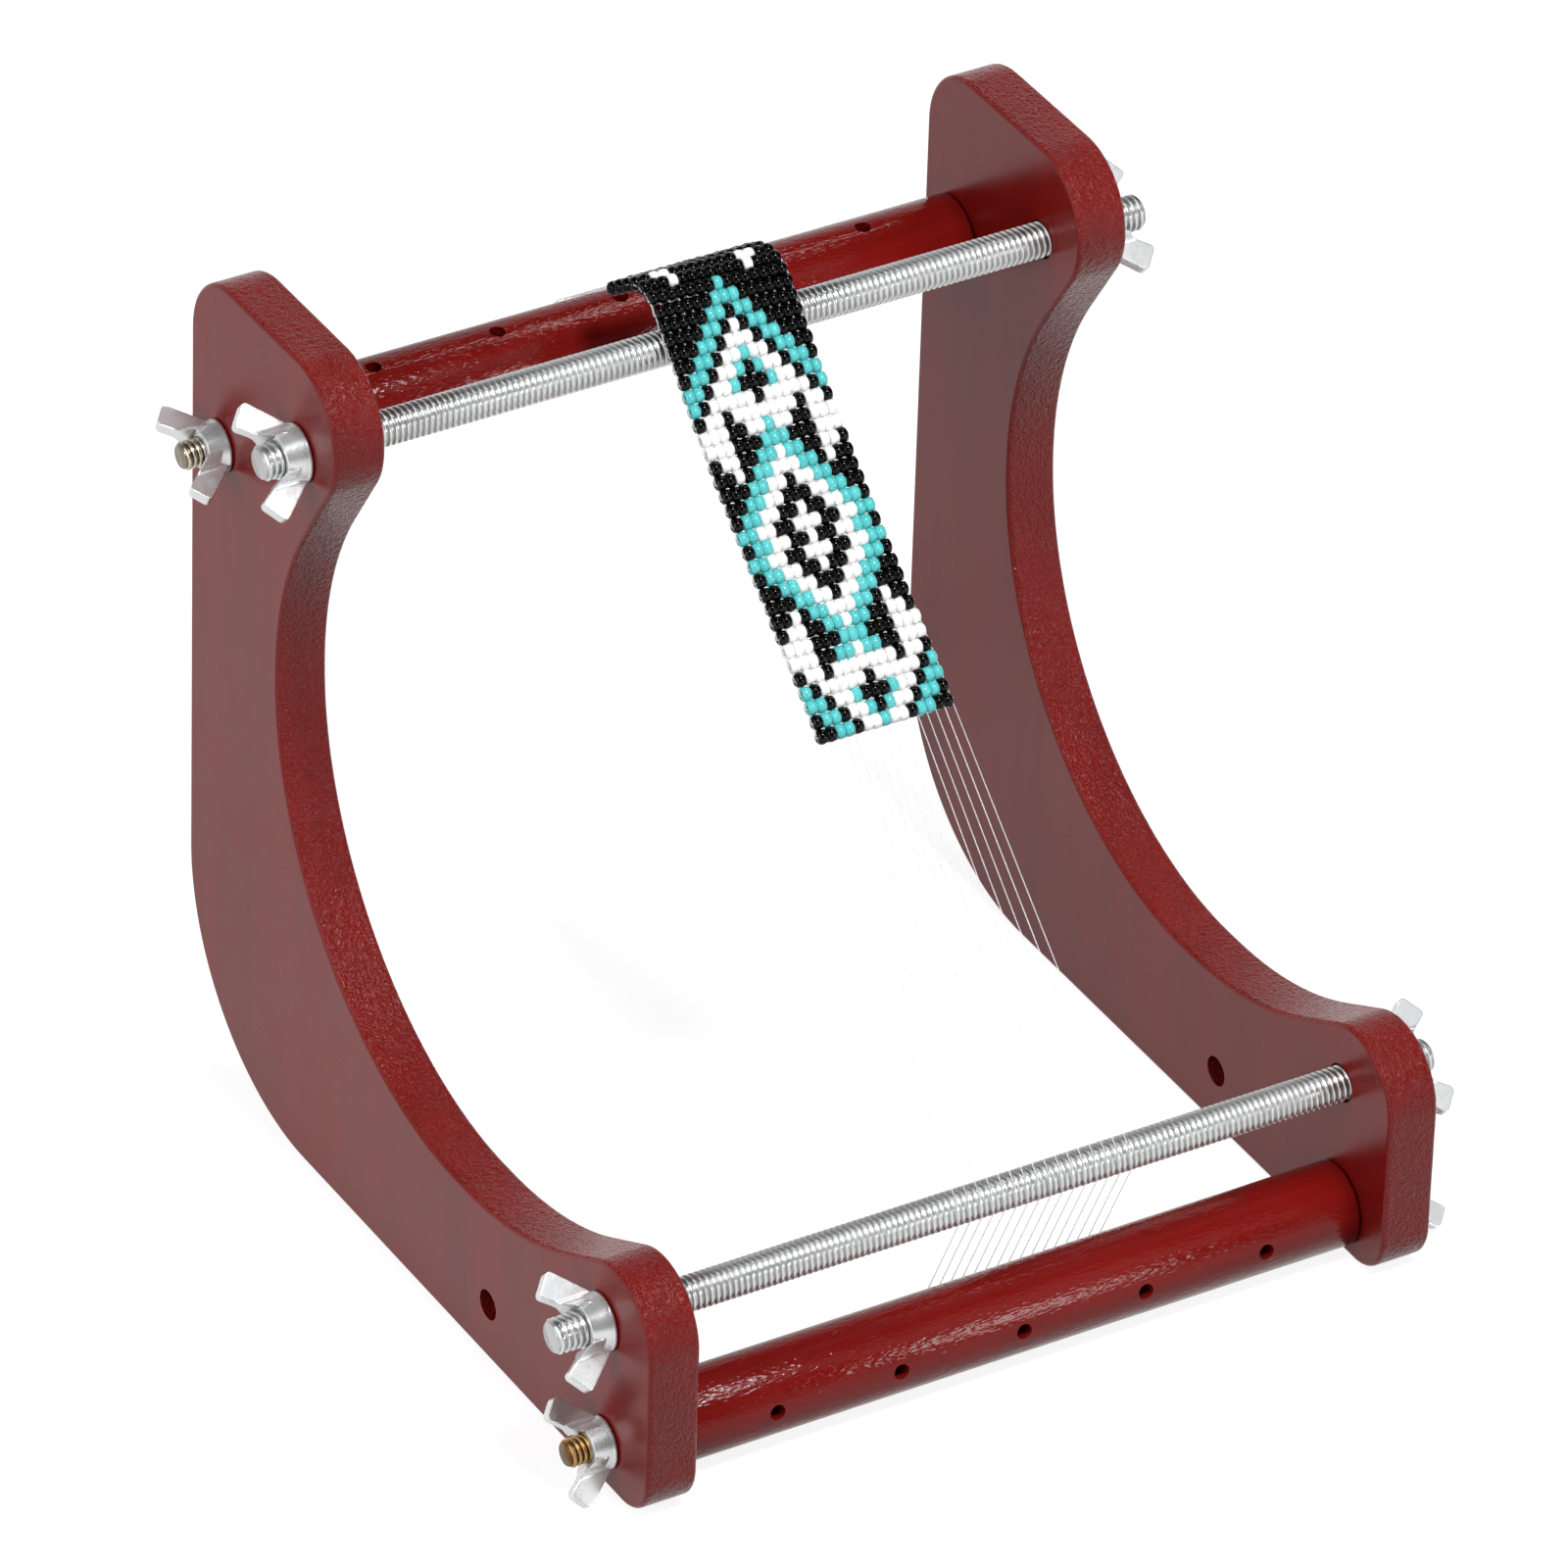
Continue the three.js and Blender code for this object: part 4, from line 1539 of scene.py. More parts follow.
    def build(self) -> Piece:
        """Casts the nut: hub and wings run into one, softened, then bored.

        Returns:
            The nut.
        """
        wing = self.profile()
        other = copy_of(wing, "other_wing", Matrix.Rotation(math.pi, 4, "X"))
        wings = join([wing, other], "wings")
        plan = self.plan()
        apply_modifier(wings, "BOOLEAN", operation="INTERSECT", solver="EXACT", object=plan)
        bpy.data.objects.remove(plan)
        nut = join([*self.hub(), wings], self.name)
        voxel = self.voxel * MM
        apply_modifier(nut, "REMESH", mode="VOXEL", voxel_size=voxel, use_smooth_shade=True)
        apply_modifier(nut, "SMOOTH", factor=0.5, iterations=self.softening)
        apply_modifier(nut, "DECIMATE", ratio=self.kept)
        bore = self.bore / 2 + self.bore_clearance
        cut(nut, [cylinder("bore", bore, -DRILL_PAST, self.height, (0, 0), self.sides)])
        smooth(nut, degrees=45)
        return nut


@dataclass
class WingNuts:
    """The eight wing nuts, outside the panels.

    Attributes:
        rod_nut: The larger nut, for the rods.
        stud_nut: The smaller nut, for the rollers' bolts.
        seat_gap: The gap between a nut and its panel.
        turns: How far the wing that points back is turned up from level, in degrees.
        finish: The nuts' zinc, which is milky.
    """

    rod_nut: NutPattern = NutPattern(
        "rod_nut",
        bore=SIZES.rod_diameter,
        hub_base=13.4,
        hub_top=10.2,
        hub_height=5.0,
        root=(2.1, 4.7),
        tip=(10.2, 11.1),
        wing_width=6.2,
    )
    stud_nut: NutPattern = NutPattern(
        "stud_nut",
        bore=SIZES.stud_diameter,
        hub_base=12.0,
        hub_top=9.0,
        hub_height=4.6,
        root=(1.9, 4.2),
        tip=(9.7, 10.3),
        wing_width=5.2,
    )
    seat_gap: float = 0.3
    turns: dict[str, float] = field(
        default_factory=lambda: {
            "upper_left_stud": 28,
            "upper_right_stud": 64,
            "lower_left_stud": 50,
            "lower_right_stud": 50,
            "upper_left_rod": 43,
            "upper_right_rod": 41,
            "lower_left_rod": 44,
            "lower_right_rod": 41,
        }
    )
    finish: PlatedMetal = PlatedMetal(
        "zinc_cast",
        crest=(0.7, 0.715, 0.72, 1),
        root=(0.6, 0.61, 0.62, 1),
        roughness=(0.22, 0.34),
        bare=0.62,
    )

    def build(self) -> None:
        """Makes one nut of each size, and copies it to its places."""
        zinc = self.finish.build()
        places = {
            ("upper", "rod"): SIZES.upper_rod,
            ("lower", "rod"): SIZES.lower_rod,
            ("upper", "stud"): SIZES.upper_roller,
            ("lower", "stud"): SIZES.lower_roller,
        }
        patterns = {"rod": self.rod_nut.build(), "stud": self.stud_nut.build()}
        for (level, kind), axis in places.items():
            for side in Side:
                key = f"{level}_{side.name.lower()}_{kind}"
                seat = side.value * (SIZES.half_width + self.seat_gap)
                move = Matrix.Translation(Vector((seat, *axis)) * MM)
                move @= Matrix.Rotation(math.radians(self.turns[key]), 4, "X")
                if side is Side.LEFT:
                    move @= Matrix.Rotation(math.pi, 4, "Z")
                nut = copy_of(patterns[kind], f"{key}_nut", move)
                hand_over(nut, f"{key}_nut_body", Slot.ZINC, zinc, [f"{key}_wing_nut"])
        for pattern in patterns.values():
            bpy.data.objects.remove(pattern)


def direction(heading: float) -> Vector:
    """The direction of a heading in the y, z plane."""
    return Vector((math.cos(heading), math.sin(heading)))


@dataclass(frozen=True)
class Circle:
    """A circle in the y, z plane that a path goes round.

    Attributes:
        centre: Its centre.
        radius: Its radius, negative where the path turns right round it.
    """

    centre: Vector
    radius: float

    def point(self, heading: float) -> Vector:
        """Where a path with that heading touches the circle."""
        return self.centre - self.radius * direction(heading + QUARTER_TURN)

    def bend(self, first: float, last: float, steps: int) -> list[Vector]:
        """The points of a path that bends round the circle.

        Args:
            first: The path's heading where the bend starts, in radians.
            last: Its heading where the bend ends.
            steps: The number of straights.

        Returns:
            The points.
        """
        return [self.point(first + (last - first) * step / steps) for step in range(steps + 1)]

    def heading_to(self, other: "Circle") -> float:
        """The heading of the straight line from this circle to the next one.

        Args:
            other: The next circle.

        Returns:
            The heading, in radians.
        """
        apart = other.centre - self.centre
        lean = (other.radius - self.radius) / apart.length
        return math.atan2(apart.y, apart.x) + math.acos(lean) - QUARTER_TURN


@dataclass
class WorkRoute:
    """The work's way from the lower rod up to its arch and on to the upper roller.

    Attributes:
        gap: The room between the work and what it passes.
        bead_height: The beads' diameter.
        warp: The warp thread's diameter.
        arch_rise: How far the strip rises past the upper rod.
        arch_radius: The radius of its arch.
        lower_rod: The circle of the warps round the lower rod.
        roller: Their circle round the upper roller.
        arch: The circle of the strip's arch.
        rod_to_rod: The length of the straight from rod to rod.
        start: Where the route leaves the lower rod.
        rising: Its heading from there to the arch.
        falling: Its heading from the arch to the upper roller.
        first_length: Its length up to the arch.
        arch_length: Its length round the arch.
    """

    gap: float = 0.3
    bead_height: float = 3.1
    warp: float = 0.26
    arch_rise: float = 7.0
    arch_radius: float = 8.0
    lower_rod: Circle = field(init=False)
    roller: Circle = field(init=False)
    arch: Circle = field(init=False)
    rod_to_rod: float = field(init=False)
    start: Vector = field(init=False)
    rising: float = field(init=False)
    falling: float = field(init=False)
    first_length: float = field(init=False)
    arch_length: float = field(init=False)

    def __post_init__(self) -> None:
        """Lays out the straights and the arch."""
        off = self.gap + self.warp / 2
        rod = SIZES.rod_diameter / 2
        self.lower_rod = Circle(Vector(SIZES.lower_rod), -(rod + off))
        upper_rod = Circle(Vector(SIZES.upper_rod), -(rod + self.gap + self.bead_height / 2))
        self.roller = Circle(Vector(SIZES.upper_roller), -(SIZES.roller_diameter / 2 + off))
        rising = self.lower_rod.heading_to(upper_rod)
        start = self.lower_rod.point(rising)
        past_rod = upper_rod.point(rising)
        self.rod_to_rod = (past_rod - start).length
        crown = past_rod + direction(rising) * self.arch_rise
        crown += direction(rising - QUARTER_TURN) * self.arch_radius
        self.arch = Circle(crown, -self.arch_radius)
        self.rising = self.lower_rod.heading_to(self.arch)
        self.falling = self.arch.heading_to(self.roller)
        self.start = self.lower_rod.point(self.rising)
        self.first_length = (self.arch.point(self.rising) - self.start).length
        self.arch_length = abs(self.falling - self.rising) * self.arch_radius

    def at(self, distance: float) -> tuple[Vector, float]:
        """The place and heading at a distance along the route.

        Args:
            distance: The distance from the lower rod.

        Returns:
            The place in the y, z plane and the heading.
        """
        if distance <= self.first_length:
            return self.start + direction(self.rising) * distance, self.rising
        along = distance - self.first_length
        if along <= self.arch_length:
            heading = self.rising - along / self.arch_radius
            return self.arch.point(heading), heading
        past_arch = direction(self.falling) * (along - self.arch_length)
        return self.arch.point(self.falling) + past_arch, self.falling


@dataclass(frozen=True)
class BeadShape:
    """One barrel-shaped bead whose hole runs along x.

    Attributes:
        ring: The radius of the wall's middle.
        wall: Half the wall's thickness.
        half_length: Half the bead's length.
        squareness: How square the wall's section is. 2 makes an ellipse.
        sides: The points round the hole.
        wall_sides: The points round the wall.
    """

    ring: float = 1.09
    wall: float = 0.66
    half_length: float = 1.13
    squareness: float = 2.4
    sides: int = 12
    wall_sides: int = 8

    def build(self) -> Piece:
        """Makes the bead, in millimetres as if they were metres.

        Returns:
            The bead.
        """
        bpy.ops.mesh.primitive_torus_add(
            major_radius=self.ring,
            minor_radius=self.wall,
            major_segments=self.sides,
            minor_segments=self.wall_sides,
            rotation=(0, QUARTER_TURN, 0),
        )
        bead = settle(newest("bead"))
        power = self.squareness
        for vertex in bead.data.vertices:
            reach = math.hypot(vertex.co.y, vertex.co.z)
            out, along = (reach - self.ring) / self.wall, vertex.co.x / self.wall
            size = (abs(out) ** power + abs(along) ** power) ** (1 / power)
            new_reach = self.ring + self.wall * out / size
            vertex.co.x = self.half_length * along / size
            vertex.co.y *= new_reach / reach
            vertex.co.z *= new_reach / reach
        smooth(bead, degrees=60)
        return bead


@dataclass(frozen=True)
class HandWork:
    """How far hand-woven beads stray from their places.

    Attributes:
        row_slip: How far a row slips sideways.
        along: How far a bead slips along the strip.
        sideways: How far it slips in its row.
        lift: How far it lies in or out.
        turn: How far it is turned, in degrees.
        girth: Its least and most girth, as shares of the usual one.
        length: Its least and most length, as shares of the usual one.
    """

    row_slip: float = 0.12
    along: float = 0.07
    sideways: float = 0.03
    lift: float = 0.07
    turn: float = 3.0
    girth: Point = (0.955, 1.0)
    length: Point = (0.96, 1.025)


class Chance(random.Random):
    """Seeded chance, the same at every run."""

    def stray(self, reach: float) -> float:
        """A number from -reach to reach."""
        return self.uniform(-reach, reach)

    def tilt(self, degrees: float, axis: str) -> Matrix:
        """A turn of up to that many degrees, either way, about an axis."""
        return Matrix.Rotation(math.radians(self.stray(degrees)), 4, axis)


@dataclass
class BeadStrip:
    """The woven beadwork with its warp and weft threads.

    Attributes:
        route: The way that the work takes.
        shape: The shape of a bead.
        hand_work: How far the beads stray.
        across: The number of beads in a row.
        rows: The number of rows.
        row_pitch: The distance from row to row.
        bead_width: The distance from bead to bead in a row.
        below_rod: How far the strip reaches below the upper rod.
        centre: The strip's middle in x, at the upper rod.
        drift: How far its middle moves in x for each millimetre below that.
        bow: How far it bows out to the left.
        bow_reach: Where the bow ends and starts, below the upper rod.
        tilt: How far the rows lean at the strip's lower and upper end, in degrees.
        fan_from: The row from which the upper rows fan out to the left.
        fan_lean: How much more each of those rows leans, in degrees.
        fan_shift: How much further left each of them lies.
        last_pattern_row: The pattern's row that the lowest row shows.
        middle_row: The pattern's row through the middle diamond.
        weft: The weft thread's diameter.
        weft_start: How far inside the strip's left side a row's weft starts.
        weft_edge: How far it runs past the outer beads before it turns.
        weft_loop: How far its turns stand out past them.
        weft_lift: How far it lies from the strip's middle, in or out.
        warp_centre_on_rod: The x of the warps' middle where they lie on the lower rod.
        turns_between_warps: The rod's threads from one warp to the next.
        on_lower_roller: How far the warps go round the lower roller, in degrees.
        on_upper_roller: How far they go round the upper roller, in degrees.
        lower_roller_steps: The number of a warp's straights on the lower roller.
        rod_steps: The number of its straights on the lower rod.
        upper_roller_steps: The number of its straights on the upper roller.
        seed: The seed of the small differences between beads.
    """

    route: WorkRoute = field(default_factory=WorkRoute)
    shape: BeadShape = BeadShape()
    hand_work: HandWork = HandWork()
    across: int = 15
    rows: int = 37
    row_pitch: float = 3.175
    bead_width: float = 2.18
    below_rod: float = 90.6
    centre: float = 6.3
    drift: float = 0.0257
    bow: float = 1.3
    bow_reach: Point = (-27.0, 80.0)
    tilt: Point = (0.5, 2.0)
    fan_from: int = 30
    fan_lean: float = 1.1
    fan_shift: float = 0.15
    last_pattern_row: int = 31
    middle_row: int = 18
    weft: float = 0.28
    weft_start: float = 0.3
    weft_edge: float = 0.1
    weft_loop: float = 0.42
    weft_lift: float = 0.2
    warp_centre_on_rod: float = 8.25
    turns_between_warps: int = 2
    on_lower_roller: float = 27.0
    on_upper_roller: float = 100.0
    lower_roller_steps: int = 6
    rod_steps: int = 10
    upper_roller_steps: int = 14
    seed: int = 7

    @property
    def start(self) -> float:
        """How far along the route the strip starts."""
        return self.route.rod_to_rod - self.below_rod

    def middle(self, distance: float) -> float:
        """The strip's middle in x.

        Args:
            distance: The distance along the route.

        Returns:
            The middle.
        """
        below = self.route.rod_to_rod - distance
        low, high = self.bow_reach
        share = min(1.0, max(0.0, (high - below) / (high - low)))
        return self.centre + self.drift * below - self.bow * math.sin(math.pi * share)

    def colour(self, row: int, column: int) -> Bead:
        """The colour of one bead of the stepped-diamond pattern.

        Args:
            row: The row, counted down from 0 just above the first diamond's point.
            column: The column, from 0 at the left.

        Returns:
            The bead's colour.
        """
        off = abs(column - self.across // 2)
        ring = abs(row - self.middle_row)
        if ring >= 19:
            return Bead.WHITE if -3 < row < 0 and 4 <= off <= ring - 15 else Bead.BLACK
        if ring <= 8:
            return self.inner_colour(row, ring or 2, off)
        if ring == 9:
            return Bead.WHITE if off <= 3 or off in (5, 6) else Bead.BLACK
        return self.outer_colour(ring, off)

    def inner_colour(self, row: int, ring: int, off: int) -> Bead:
        """A bead's colour in the middle diamond and the wedges beside it.

        Args:
            row: The row in the pattern.
            ring: The rows from the middle row.
            off: The columns from the middle column.

        Returns:
            The bead's colour.
        """
        if ring == 8 and off <= 2:
            below = row > self.middle_row
            return Bead.TURQUOISE if (off == 0) != below else Bead.WHITE
        bands = {7: Bead.TURQUOISE, 5: Bead.WHITE, 3: Bead.BLACK, 1: Bead.WHITE}
        for edge, bead in bands.items():
            if off in (edge - ring, edge + 1 - ring):
                return bead
        if ring >= 5 and 2 + abs(ring - 7) <= off <= 4:
            return Bead.BLACK
        return Bead.WHITE if 5 <= off <= ring else Bead.BLACK

    def outer_colour(self, ring: int, off: int) -> Bead:
        """A bead's colour in the diamonds above and below the middle one.

        Args:
            ring: The rows from the middle row, 10 or more.
            off: The columns from the middle column.

        Returns:
            The bead's colour.
        """
        if off + abs(ring - 11) <= 1:
            return Bead.BLACK
        if off in (17 - ring, 18 - ring):
            return Bead.TURQUOISE
        if off in (14 - ring, 15 - ring):
            return Bead.WHITE
        if ring == 10 and 1 <= off <= 5:
            return Bead.WHITE
        if ring >= 11 and off == 13 - ring:
            return Bead.TURQUOISE
        if ring >= 11 and off < 13 - ring:
            return Bead.WHITE
        return Bead.BLACK

    def bead_places(self) -> Iterable[tuple[Bead, float, Matrix]]:
        """Every bead of the strip.

        Yields:
            The bead's colour, its tone from 0 to 1 and what puts the pattern bead in place.
        """
        chance, free = Chance(self.seed), self.hand_work
        for number in range(self.rows):
            row = self.last_pattern_row - number
            fanned = max(0, number - self.fan_from)
            lean = self.tilt[0] + (self.tilt[1] - self.tilt[0]) * number / self.rows
            lean += self.fan_lean * fanned
            along = self.start + (number + 0.5) * self.row_pitch
            slip = chance.stray(free.row_slip) - self.fan_shift * fanned
            for column in range(self.across):
                side = (column - self.across // 2) * self.bead_width
                spot = along - side * math.tan(math.radians(lean)) + chance.stray(free.along)
                place, heading = self.route.at(spot)
                x = self.middle(along) + side + slip + chance.stray(free.sideways)
                up = direction(heading + QUARTER_TURN) * chance.stray(free.lift)
                girth = chance.uniform(*free.girth) * MM
                length = chance.uniform(*free.length) * MM
                turn = Matrix.Rotation(heading, 4, "X")
                turn @= Matrix.Rotation(math.radians(-lean), 4, "Z")
                turn @= chance.tilt(free.turn, "Z")
                turn @= chance.tilt(free.turn, "Y")
                turn @= Matrix.Rotation(chance.uniform(0, math.pi), 4, "X")
                size = Matrix.Diagonal((length, girth, girth, 1))
                spotted = Matrix.Translation(Vector((x, place.x + up.x, place.y + up.y)) * MM)
                yield self.colour(row, column), chance.random(), spotted @ turn @ size

    def build_beads(self, finishes: dict[Bead, bpy.types.Material]) -> None:
        """Strings all the beads, one piece for each colour.

        Args:
            finishes: The colours' materials.
        """
        pattern = self.shape.build()
        strung: dict[Bead, list[Piece]] = {bead: [] for bead in Bead}
        for number, (bead, tone, move) in enumerate(self.bead_places()):
            made = copy_of(pattern, f"bead_{number}", move)
            attribute = made.data.attributes.new(TONE, "FLOAT", "POINT")
            attribute.data.foreach_set("value", [tone] * len(made.data.vertices))
            strung[bead].append(made)
        bpy.data.objects.remove(pattern)
        for bead, pieces in strung.items():
            whole = join(pieces, f"{bead.value}_beads")
            hand_over(whole, "frame", Slot.BEADS, finishes[bead], ["bead_strip"])

    def thread(self, name: str, points: Sequence[Vector], diameter: float) -> Piece:
        """A thread through given points.

        Args:
            name: Its name.
            points: The points, in millimetres.
            diameter: Its diameter in millimetres.

        Returns:
            The thread as a mesh.
        """
        curve = bpy.data.curves.new(name, "CURVE")
        curve.dimensions = "3D"
        curve.bevel_depth = diameter / 2 * MM
        curve.bevel_resolution = 1
        curve.use_fill_caps = True
        spline = curve.splines.new("POLY")
        spline.points.add(len(points) - 1)
        for spot, point in zip(spline.points, points):
            spot.co = (*(point * MM), 1)
        made = bpy.data.objects.new(name, curve)
        bpy.context.scene.collection.objects.link(made)
        activate(made)
        bpy.ops.object.convert(target="MESH")
        thread = newest(name)
        with EditMode(thread) as work:
            work.close_and_face_out()
        smooth(thread, degrees=60)
        return thread

    def warp_points(self, number: int) -> list[Vector]:
        """The way of one warp, from the lower roller's back to the upper roller's back.

        Args:
            number: The warp, from 0 at the left.

        Returns:
            The points.
        """
        route = self.route
        offset = number - self.across / 2
        on_rod = self.warp_centre_on_rod + offset * self.turns_between_warps * SIZES.rod_pitch
        roller = Circle(Vector(SIZES.lower_roller), -route.roller.radius)
        leaving = roller.heading_to(route.lower_rod)
        wound = leaving - math.radians(self.on_lower_roller)
        below = roller.bend(wound, leaving, self.lower_roller_steps)
        below += route.lower_rod.bend(leaving, route.rising, self.rod_steps)
        points = [Vector((on_rod, *spot)) for spot in below]
        for step in range(2 * self.rows + 1):
            distance = self.start + step * self.row_pitch / 2
            place, _ = route.at(distance)
            points.append(Vector((self.middle(distance) + offset * self.bead_width, *place)))
        last = points[-1].x
        wound = route.falling - math.radians(self.on_upper_roller)
        above = route.roller.bend(route.falling, wound, self.upper_roller_steps)
        return points + [Vector((last, *spot)) for spot in above]

    def weft_points(self) -> list[Vector]:
        """The way of the weft: to and fro through every row, stepping up at the left.

        Returns:
            The points.
        """
        points = []
        half = self.across * self.bead_width / 2
        edge, loop, lift = half + self.weft_edge, half + self.weft_loop, self.weft_lift
        stations = (
            (self.weft_start - half, -lift),
            (edge, -lift),
            (loop, 0.0),
            (edge, lift),
            (-edge, lift),
            (-loop, lift / 2),
        )
        for number in range(self.rows):
            distance = self.start + (number + 0.5) * self.row_pitch
            place, heading = self.route.at(distance)
            out = direction(heading + QUARTER_TURN)
            middle = self.middle(distance)
            for side, height in stations:
                points.append(Vector((middle + side, *(place + out * height))))
        return points

    def build_threads(self, nylon: bpy.types.Material) -> None:
        """Makes the warp threads and the weft.

        Args:
            nylon: Their finish.
        """
        for number in range(self.across + 1):
            label = f"{number + 1:02d}"
            warp = self.thread(f"warp_thread_{label}", self.warp_points(number), self.route.warp)
            nodes = [f"lower_warp_{label}", f"upper_warp_{label}"]
            hand_over(warp, "frame", Slot.THREAD, nylon, nodes)
        weft = self.thread("weft_thread", self.weft_points(), self.weft)
        hand_over(weft, "frame", Slot.THREAD, nylon)


@dataclass(frozen=True)
class Softbox:
    """A square lamp with a soft light.

    Attributes:
        name: Its name.
        place: Its place, in metres.
        size: The length of its sides, in metres.
        power: Its power, in watts.
        aim: The point that it faces, in metres.
    """

    name: str
    place: Triple
    size: float
    power: float
    aim: Triple = (0.0, 0.0, 0.1)

    def build(self) -> None:
        """Sets the lamp up."""
        light = bpy.data.lights.new(self.name, "AREA")
        light.shape = "SQUARE"
        light.size = self.size
        light.energy = self.power
        lamp = bpy.data.objects.new(self.name, light)
        bpy.context.scene.collection.objects.link(lamp)
        lamp.location = self.place
        facing = Vector(self.aim) - Vector(self.place)
        lamp.rotation_euler = facing.to_track_quat("-Z", "Y").to_euler()


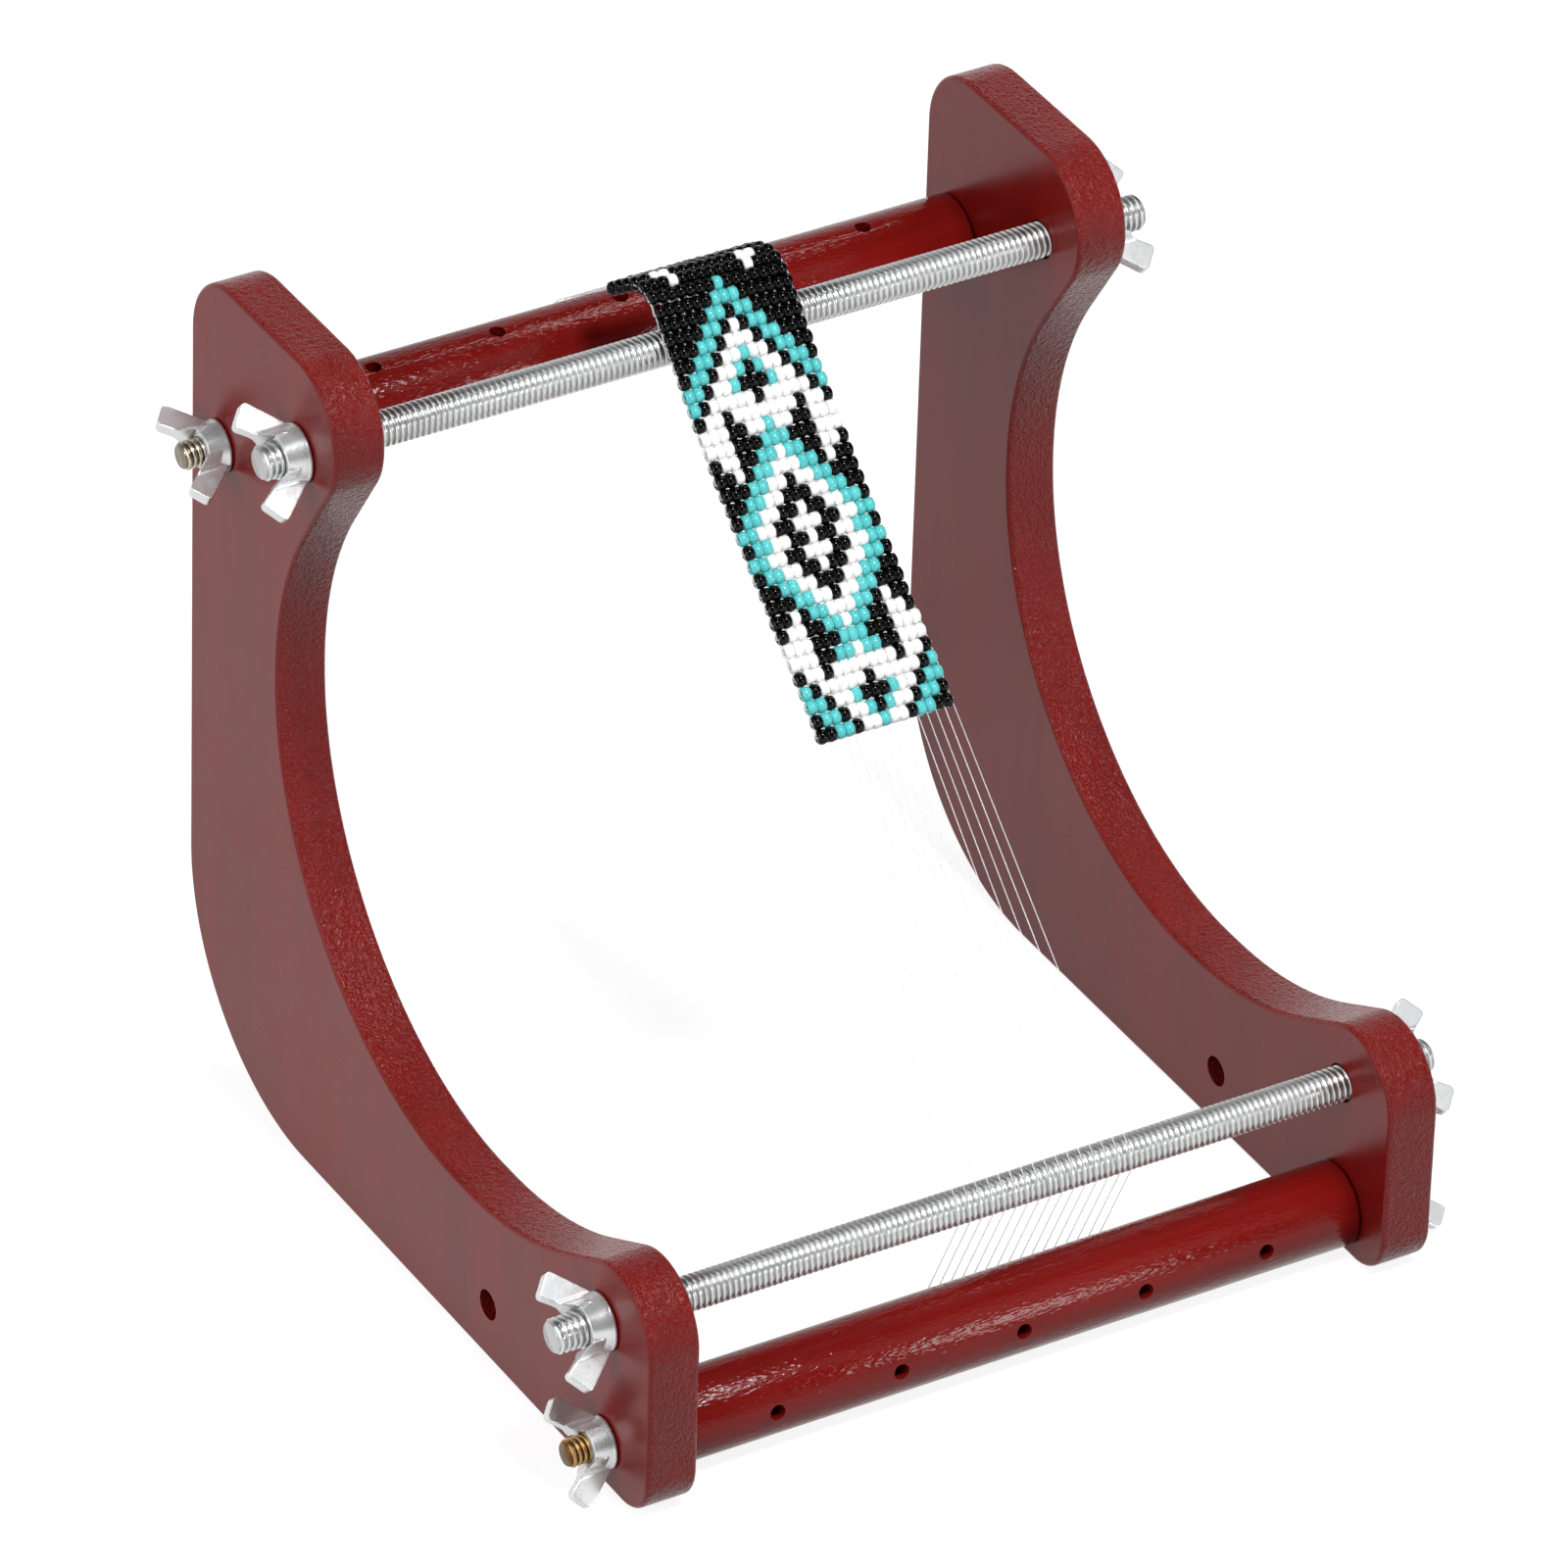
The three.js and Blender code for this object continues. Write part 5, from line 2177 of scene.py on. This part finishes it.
@dataclass
class Studio:
    """The floor, the lights and the camera.

    Attributes:
        camera_place: The camera's place, in metres.
        azimuth: The camera's turn, in degrees.
        elevation: Its height above the horizon, in degrees.
        roll: Its roll, in degrees.
        sensor: Its sensor's width in millimetres.
        lens: Its focal length in millimetres.
        sight: The nearest and furthest that it sees, in metres.
        floor_size: The length of the floor's sides, in metres.
        floor_shade: How much of the lamps' light the floor gives back.
        floor_lift: How much the floor glows, so that it looks white.
        pale: The colour of the room low down and up its back wall.
        dark: The colour of the room elsewhere.
        wall_from: The reach towards the back where the wall starts and where it is full.
        wall_height: How much higher up the back wall is pale.
        pale_up_to: The height where the room has gone dark.
        lamps: The lamps.
    """

    camera_place: Triple = (-1.24283, -2.02601, 1.70348)
    azimuth: float = -31.37063
    elevation: float = 34.07938
    roll: float = 1.88903
    sensor: float = 36.0
    lens: float = 311.7378
    sight: Point = (0.1, 100.0)
    floor_size: float = 40.0
    floor_shade: float = 0.26
    floor_lift: float = 0.87
    pale: Colour = (0.8, 0.8, 0.81, 1.0)
    dark: Colour = (0.03, 0.03, 0.032, 1.0)
    wall_from: Point = (0.1, 0.5)
    wall_height: float = 0.4
    pale_up_to: float = 0.26
    lamps: tuple[Softbox, ...] = (
        Softbox("key_softbox", (0.12, -0.85, 1.9), size=0.42, power=33.0),
        Softbox("left_softbox", (-2.0, -0.35, 0.9), size=2.0, power=34.0),
        Softbox("low_softbox", (0.85, -1.74, 0.65), size=0.45, power=9.0),
        Softbox("top_softbox", (0.85, 0.48, 1.85), size=0.4, power=5.0),
        Softbox("right_softbox", (0.95, -1.2, 1.5), size=1.0, power=2.5),
    )

    def floor(self) -> None:
        """Lays the white floor, which keeps the loom's shadow."""
        bpy.ops.mesh.primitive_plane_add(size=self.floor_size)
        floor = newest("studio_floor")
        material = bpy.data.materials.new("white_floor")
        material.use_nodes = True
        graph = Graph(material.node_tree)
        nodes = material.node_tree.nodes
        nodes.remove(nodes["Principled BSDF"])
        shade = (self.floor_shade, self.floor_shade, self.floor_shade, 1.0)
        paper = graph.add("BsdfDiffuse", {"Color": shade})
        rays = graph.add("LightPath").outputs
        seen = graph.math("MAXIMUM", rays["Is Camera Ray"], rays["Is Glossy Ray"])
        seen = graph.math("MAXIMUM", seen, rays["Is Transmission Ray"])
        lift = graph.math("MULTIPLY", seen, self.floor_lift)
        glow = graph.add("Emission", {"Color": (1, 1, 1, 1), "Strength": lift})
        both = graph.add("AddShader", {0: paper.outputs[0], 1: glow.outputs[0]})
        graph.feed(nodes["Material Output"].inputs["Surface"], both.outputs[0])
        floor.data.materials.append(material)

    def world(self) -> None:
        """Sets the room's light: pale low down and up the back wall, and dark elsewhere."""
        world = bpy.data.worlds.new("studio_room")
        bpy.context.scene.world = world
        world.use_nodes = True
        graph = Graph(world.node_tree)
        parts = graph.add("SeparateXYZ", {0: graph.add("TexCoord").outputs["Generated"]})
        back, height = parts.outputs[1:]
        wall = graph.math("MULTIPLY", graph.ramp(back, *self.wall_from), self.wall_height)
        above = graph.ramp(graph.math("SUBTRACT", height, wall), 0.0, self.pale_up_to)
        background = world.node_tree.nodes["Background"]
        graph.feed(background.inputs["Color"], graph.mix(above, self.pale, self.dark))
        background.inputs["Strength"].default_value = 1.0

    def camera(self) -> None:
        """Sets up the camera at the photograph's viewing angle."""
        data = bpy.data.cameras.new("camera")
        data.sensor_width = self.sensor
        data.lens = self.lens
        data.clip_start, data.clip_end = self.sight
        camera = bpy.data.objects.new("camera", data)
        bpy.context.scene.collection.objects.link(camera)
        turn = Matrix.Rotation(math.radians(self.azimuth), 4, "Z")
        turn @= Matrix.Rotation(math.radians(90 - self.elevation), 4, "X")
        turn @= Matrix.Rotation(math.radians(self.roll), 4, "Z")
        camera.matrix_world = Matrix.Translation(self.camera_place) @ turn
        bpy.context.scene.camera = camera

    def build(self) -> None:
        """Sets up the whole studio."""
        self.camera()
        self.floor()
        self.world()
        for lamp in self.lamps:
            lamp.build()
        bpy.context.scene.view_settings.view_transform = "Standard"


def main() -> None:
    """Builds the studio and the loom."""
    logging.basicConfig(level=logging.INFO, format="%(name)s: %(message)s")
    Studio().build()
    board_wood = LacqueredWood(
        "lacquered_board",
        stretch=(1.0, 1.0, 0.12),
        bright=(0.17, 0.0062, 0.0046, 1),
        deep=(0.13, 0.0048, 0.0036, 1),
        wrinkle=0.72,
        wrinkle_scale=700.0,
    )
    dowel_wood = LacqueredWood(
        "lacquered_dowel",
        stretch=(0.08, 1.0, 1.0),
        bright=(0.175, 0.006, 0.0045, 1),
        deep=(0.085, 0.0032, 0.0026, 1),
        wrinkle=0.16,
        all_round=True,
        shine=1.3,
        wrinkle_stretch=(0.25, 1.0, 1.0),
    )
    SidePanels().build(board_wood.build())
    ThreadedRods().build()
    Rollers().build(dowel_wood.build())
    WingNuts().build()
    finishes = {
        Bead.BLACK: BeadGlass(
            "black_glass",
            colour=(0.0008, 0.0008, 0.0008, 1),
            other=(0.002, 0.0018, 0.002, 1),
            roughness=0.02,
            shine=1.28,
        ),
        Bead.WHITE: BeadGlass(
            "white_glass",
            colour=(0.9, 0.9, 0.895, 1),
            other=(0.84, 0.84, 0.83, 1),
            roughness=0.16,
        ),
        Bead.TURQUOISE: BeadGlass(
            "turquoise_glass",
            colour=(0.105, 0.56, 0.56, 1),
            other=(0.07, 0.47, 0.48, 1),
            roughness=0.14,
        ),
    }
    strip = BeadStrip()
    strip.build_beads({bead: finish.build() for bead, finish in finishes.items()})
    nylon = NylonThread("white_nylon", colour=(0.93, 0.93, 0.93, 1), cover=0.5)
    strip.build_threads(nylon.build())


if __name__ == "__main__":
    main()
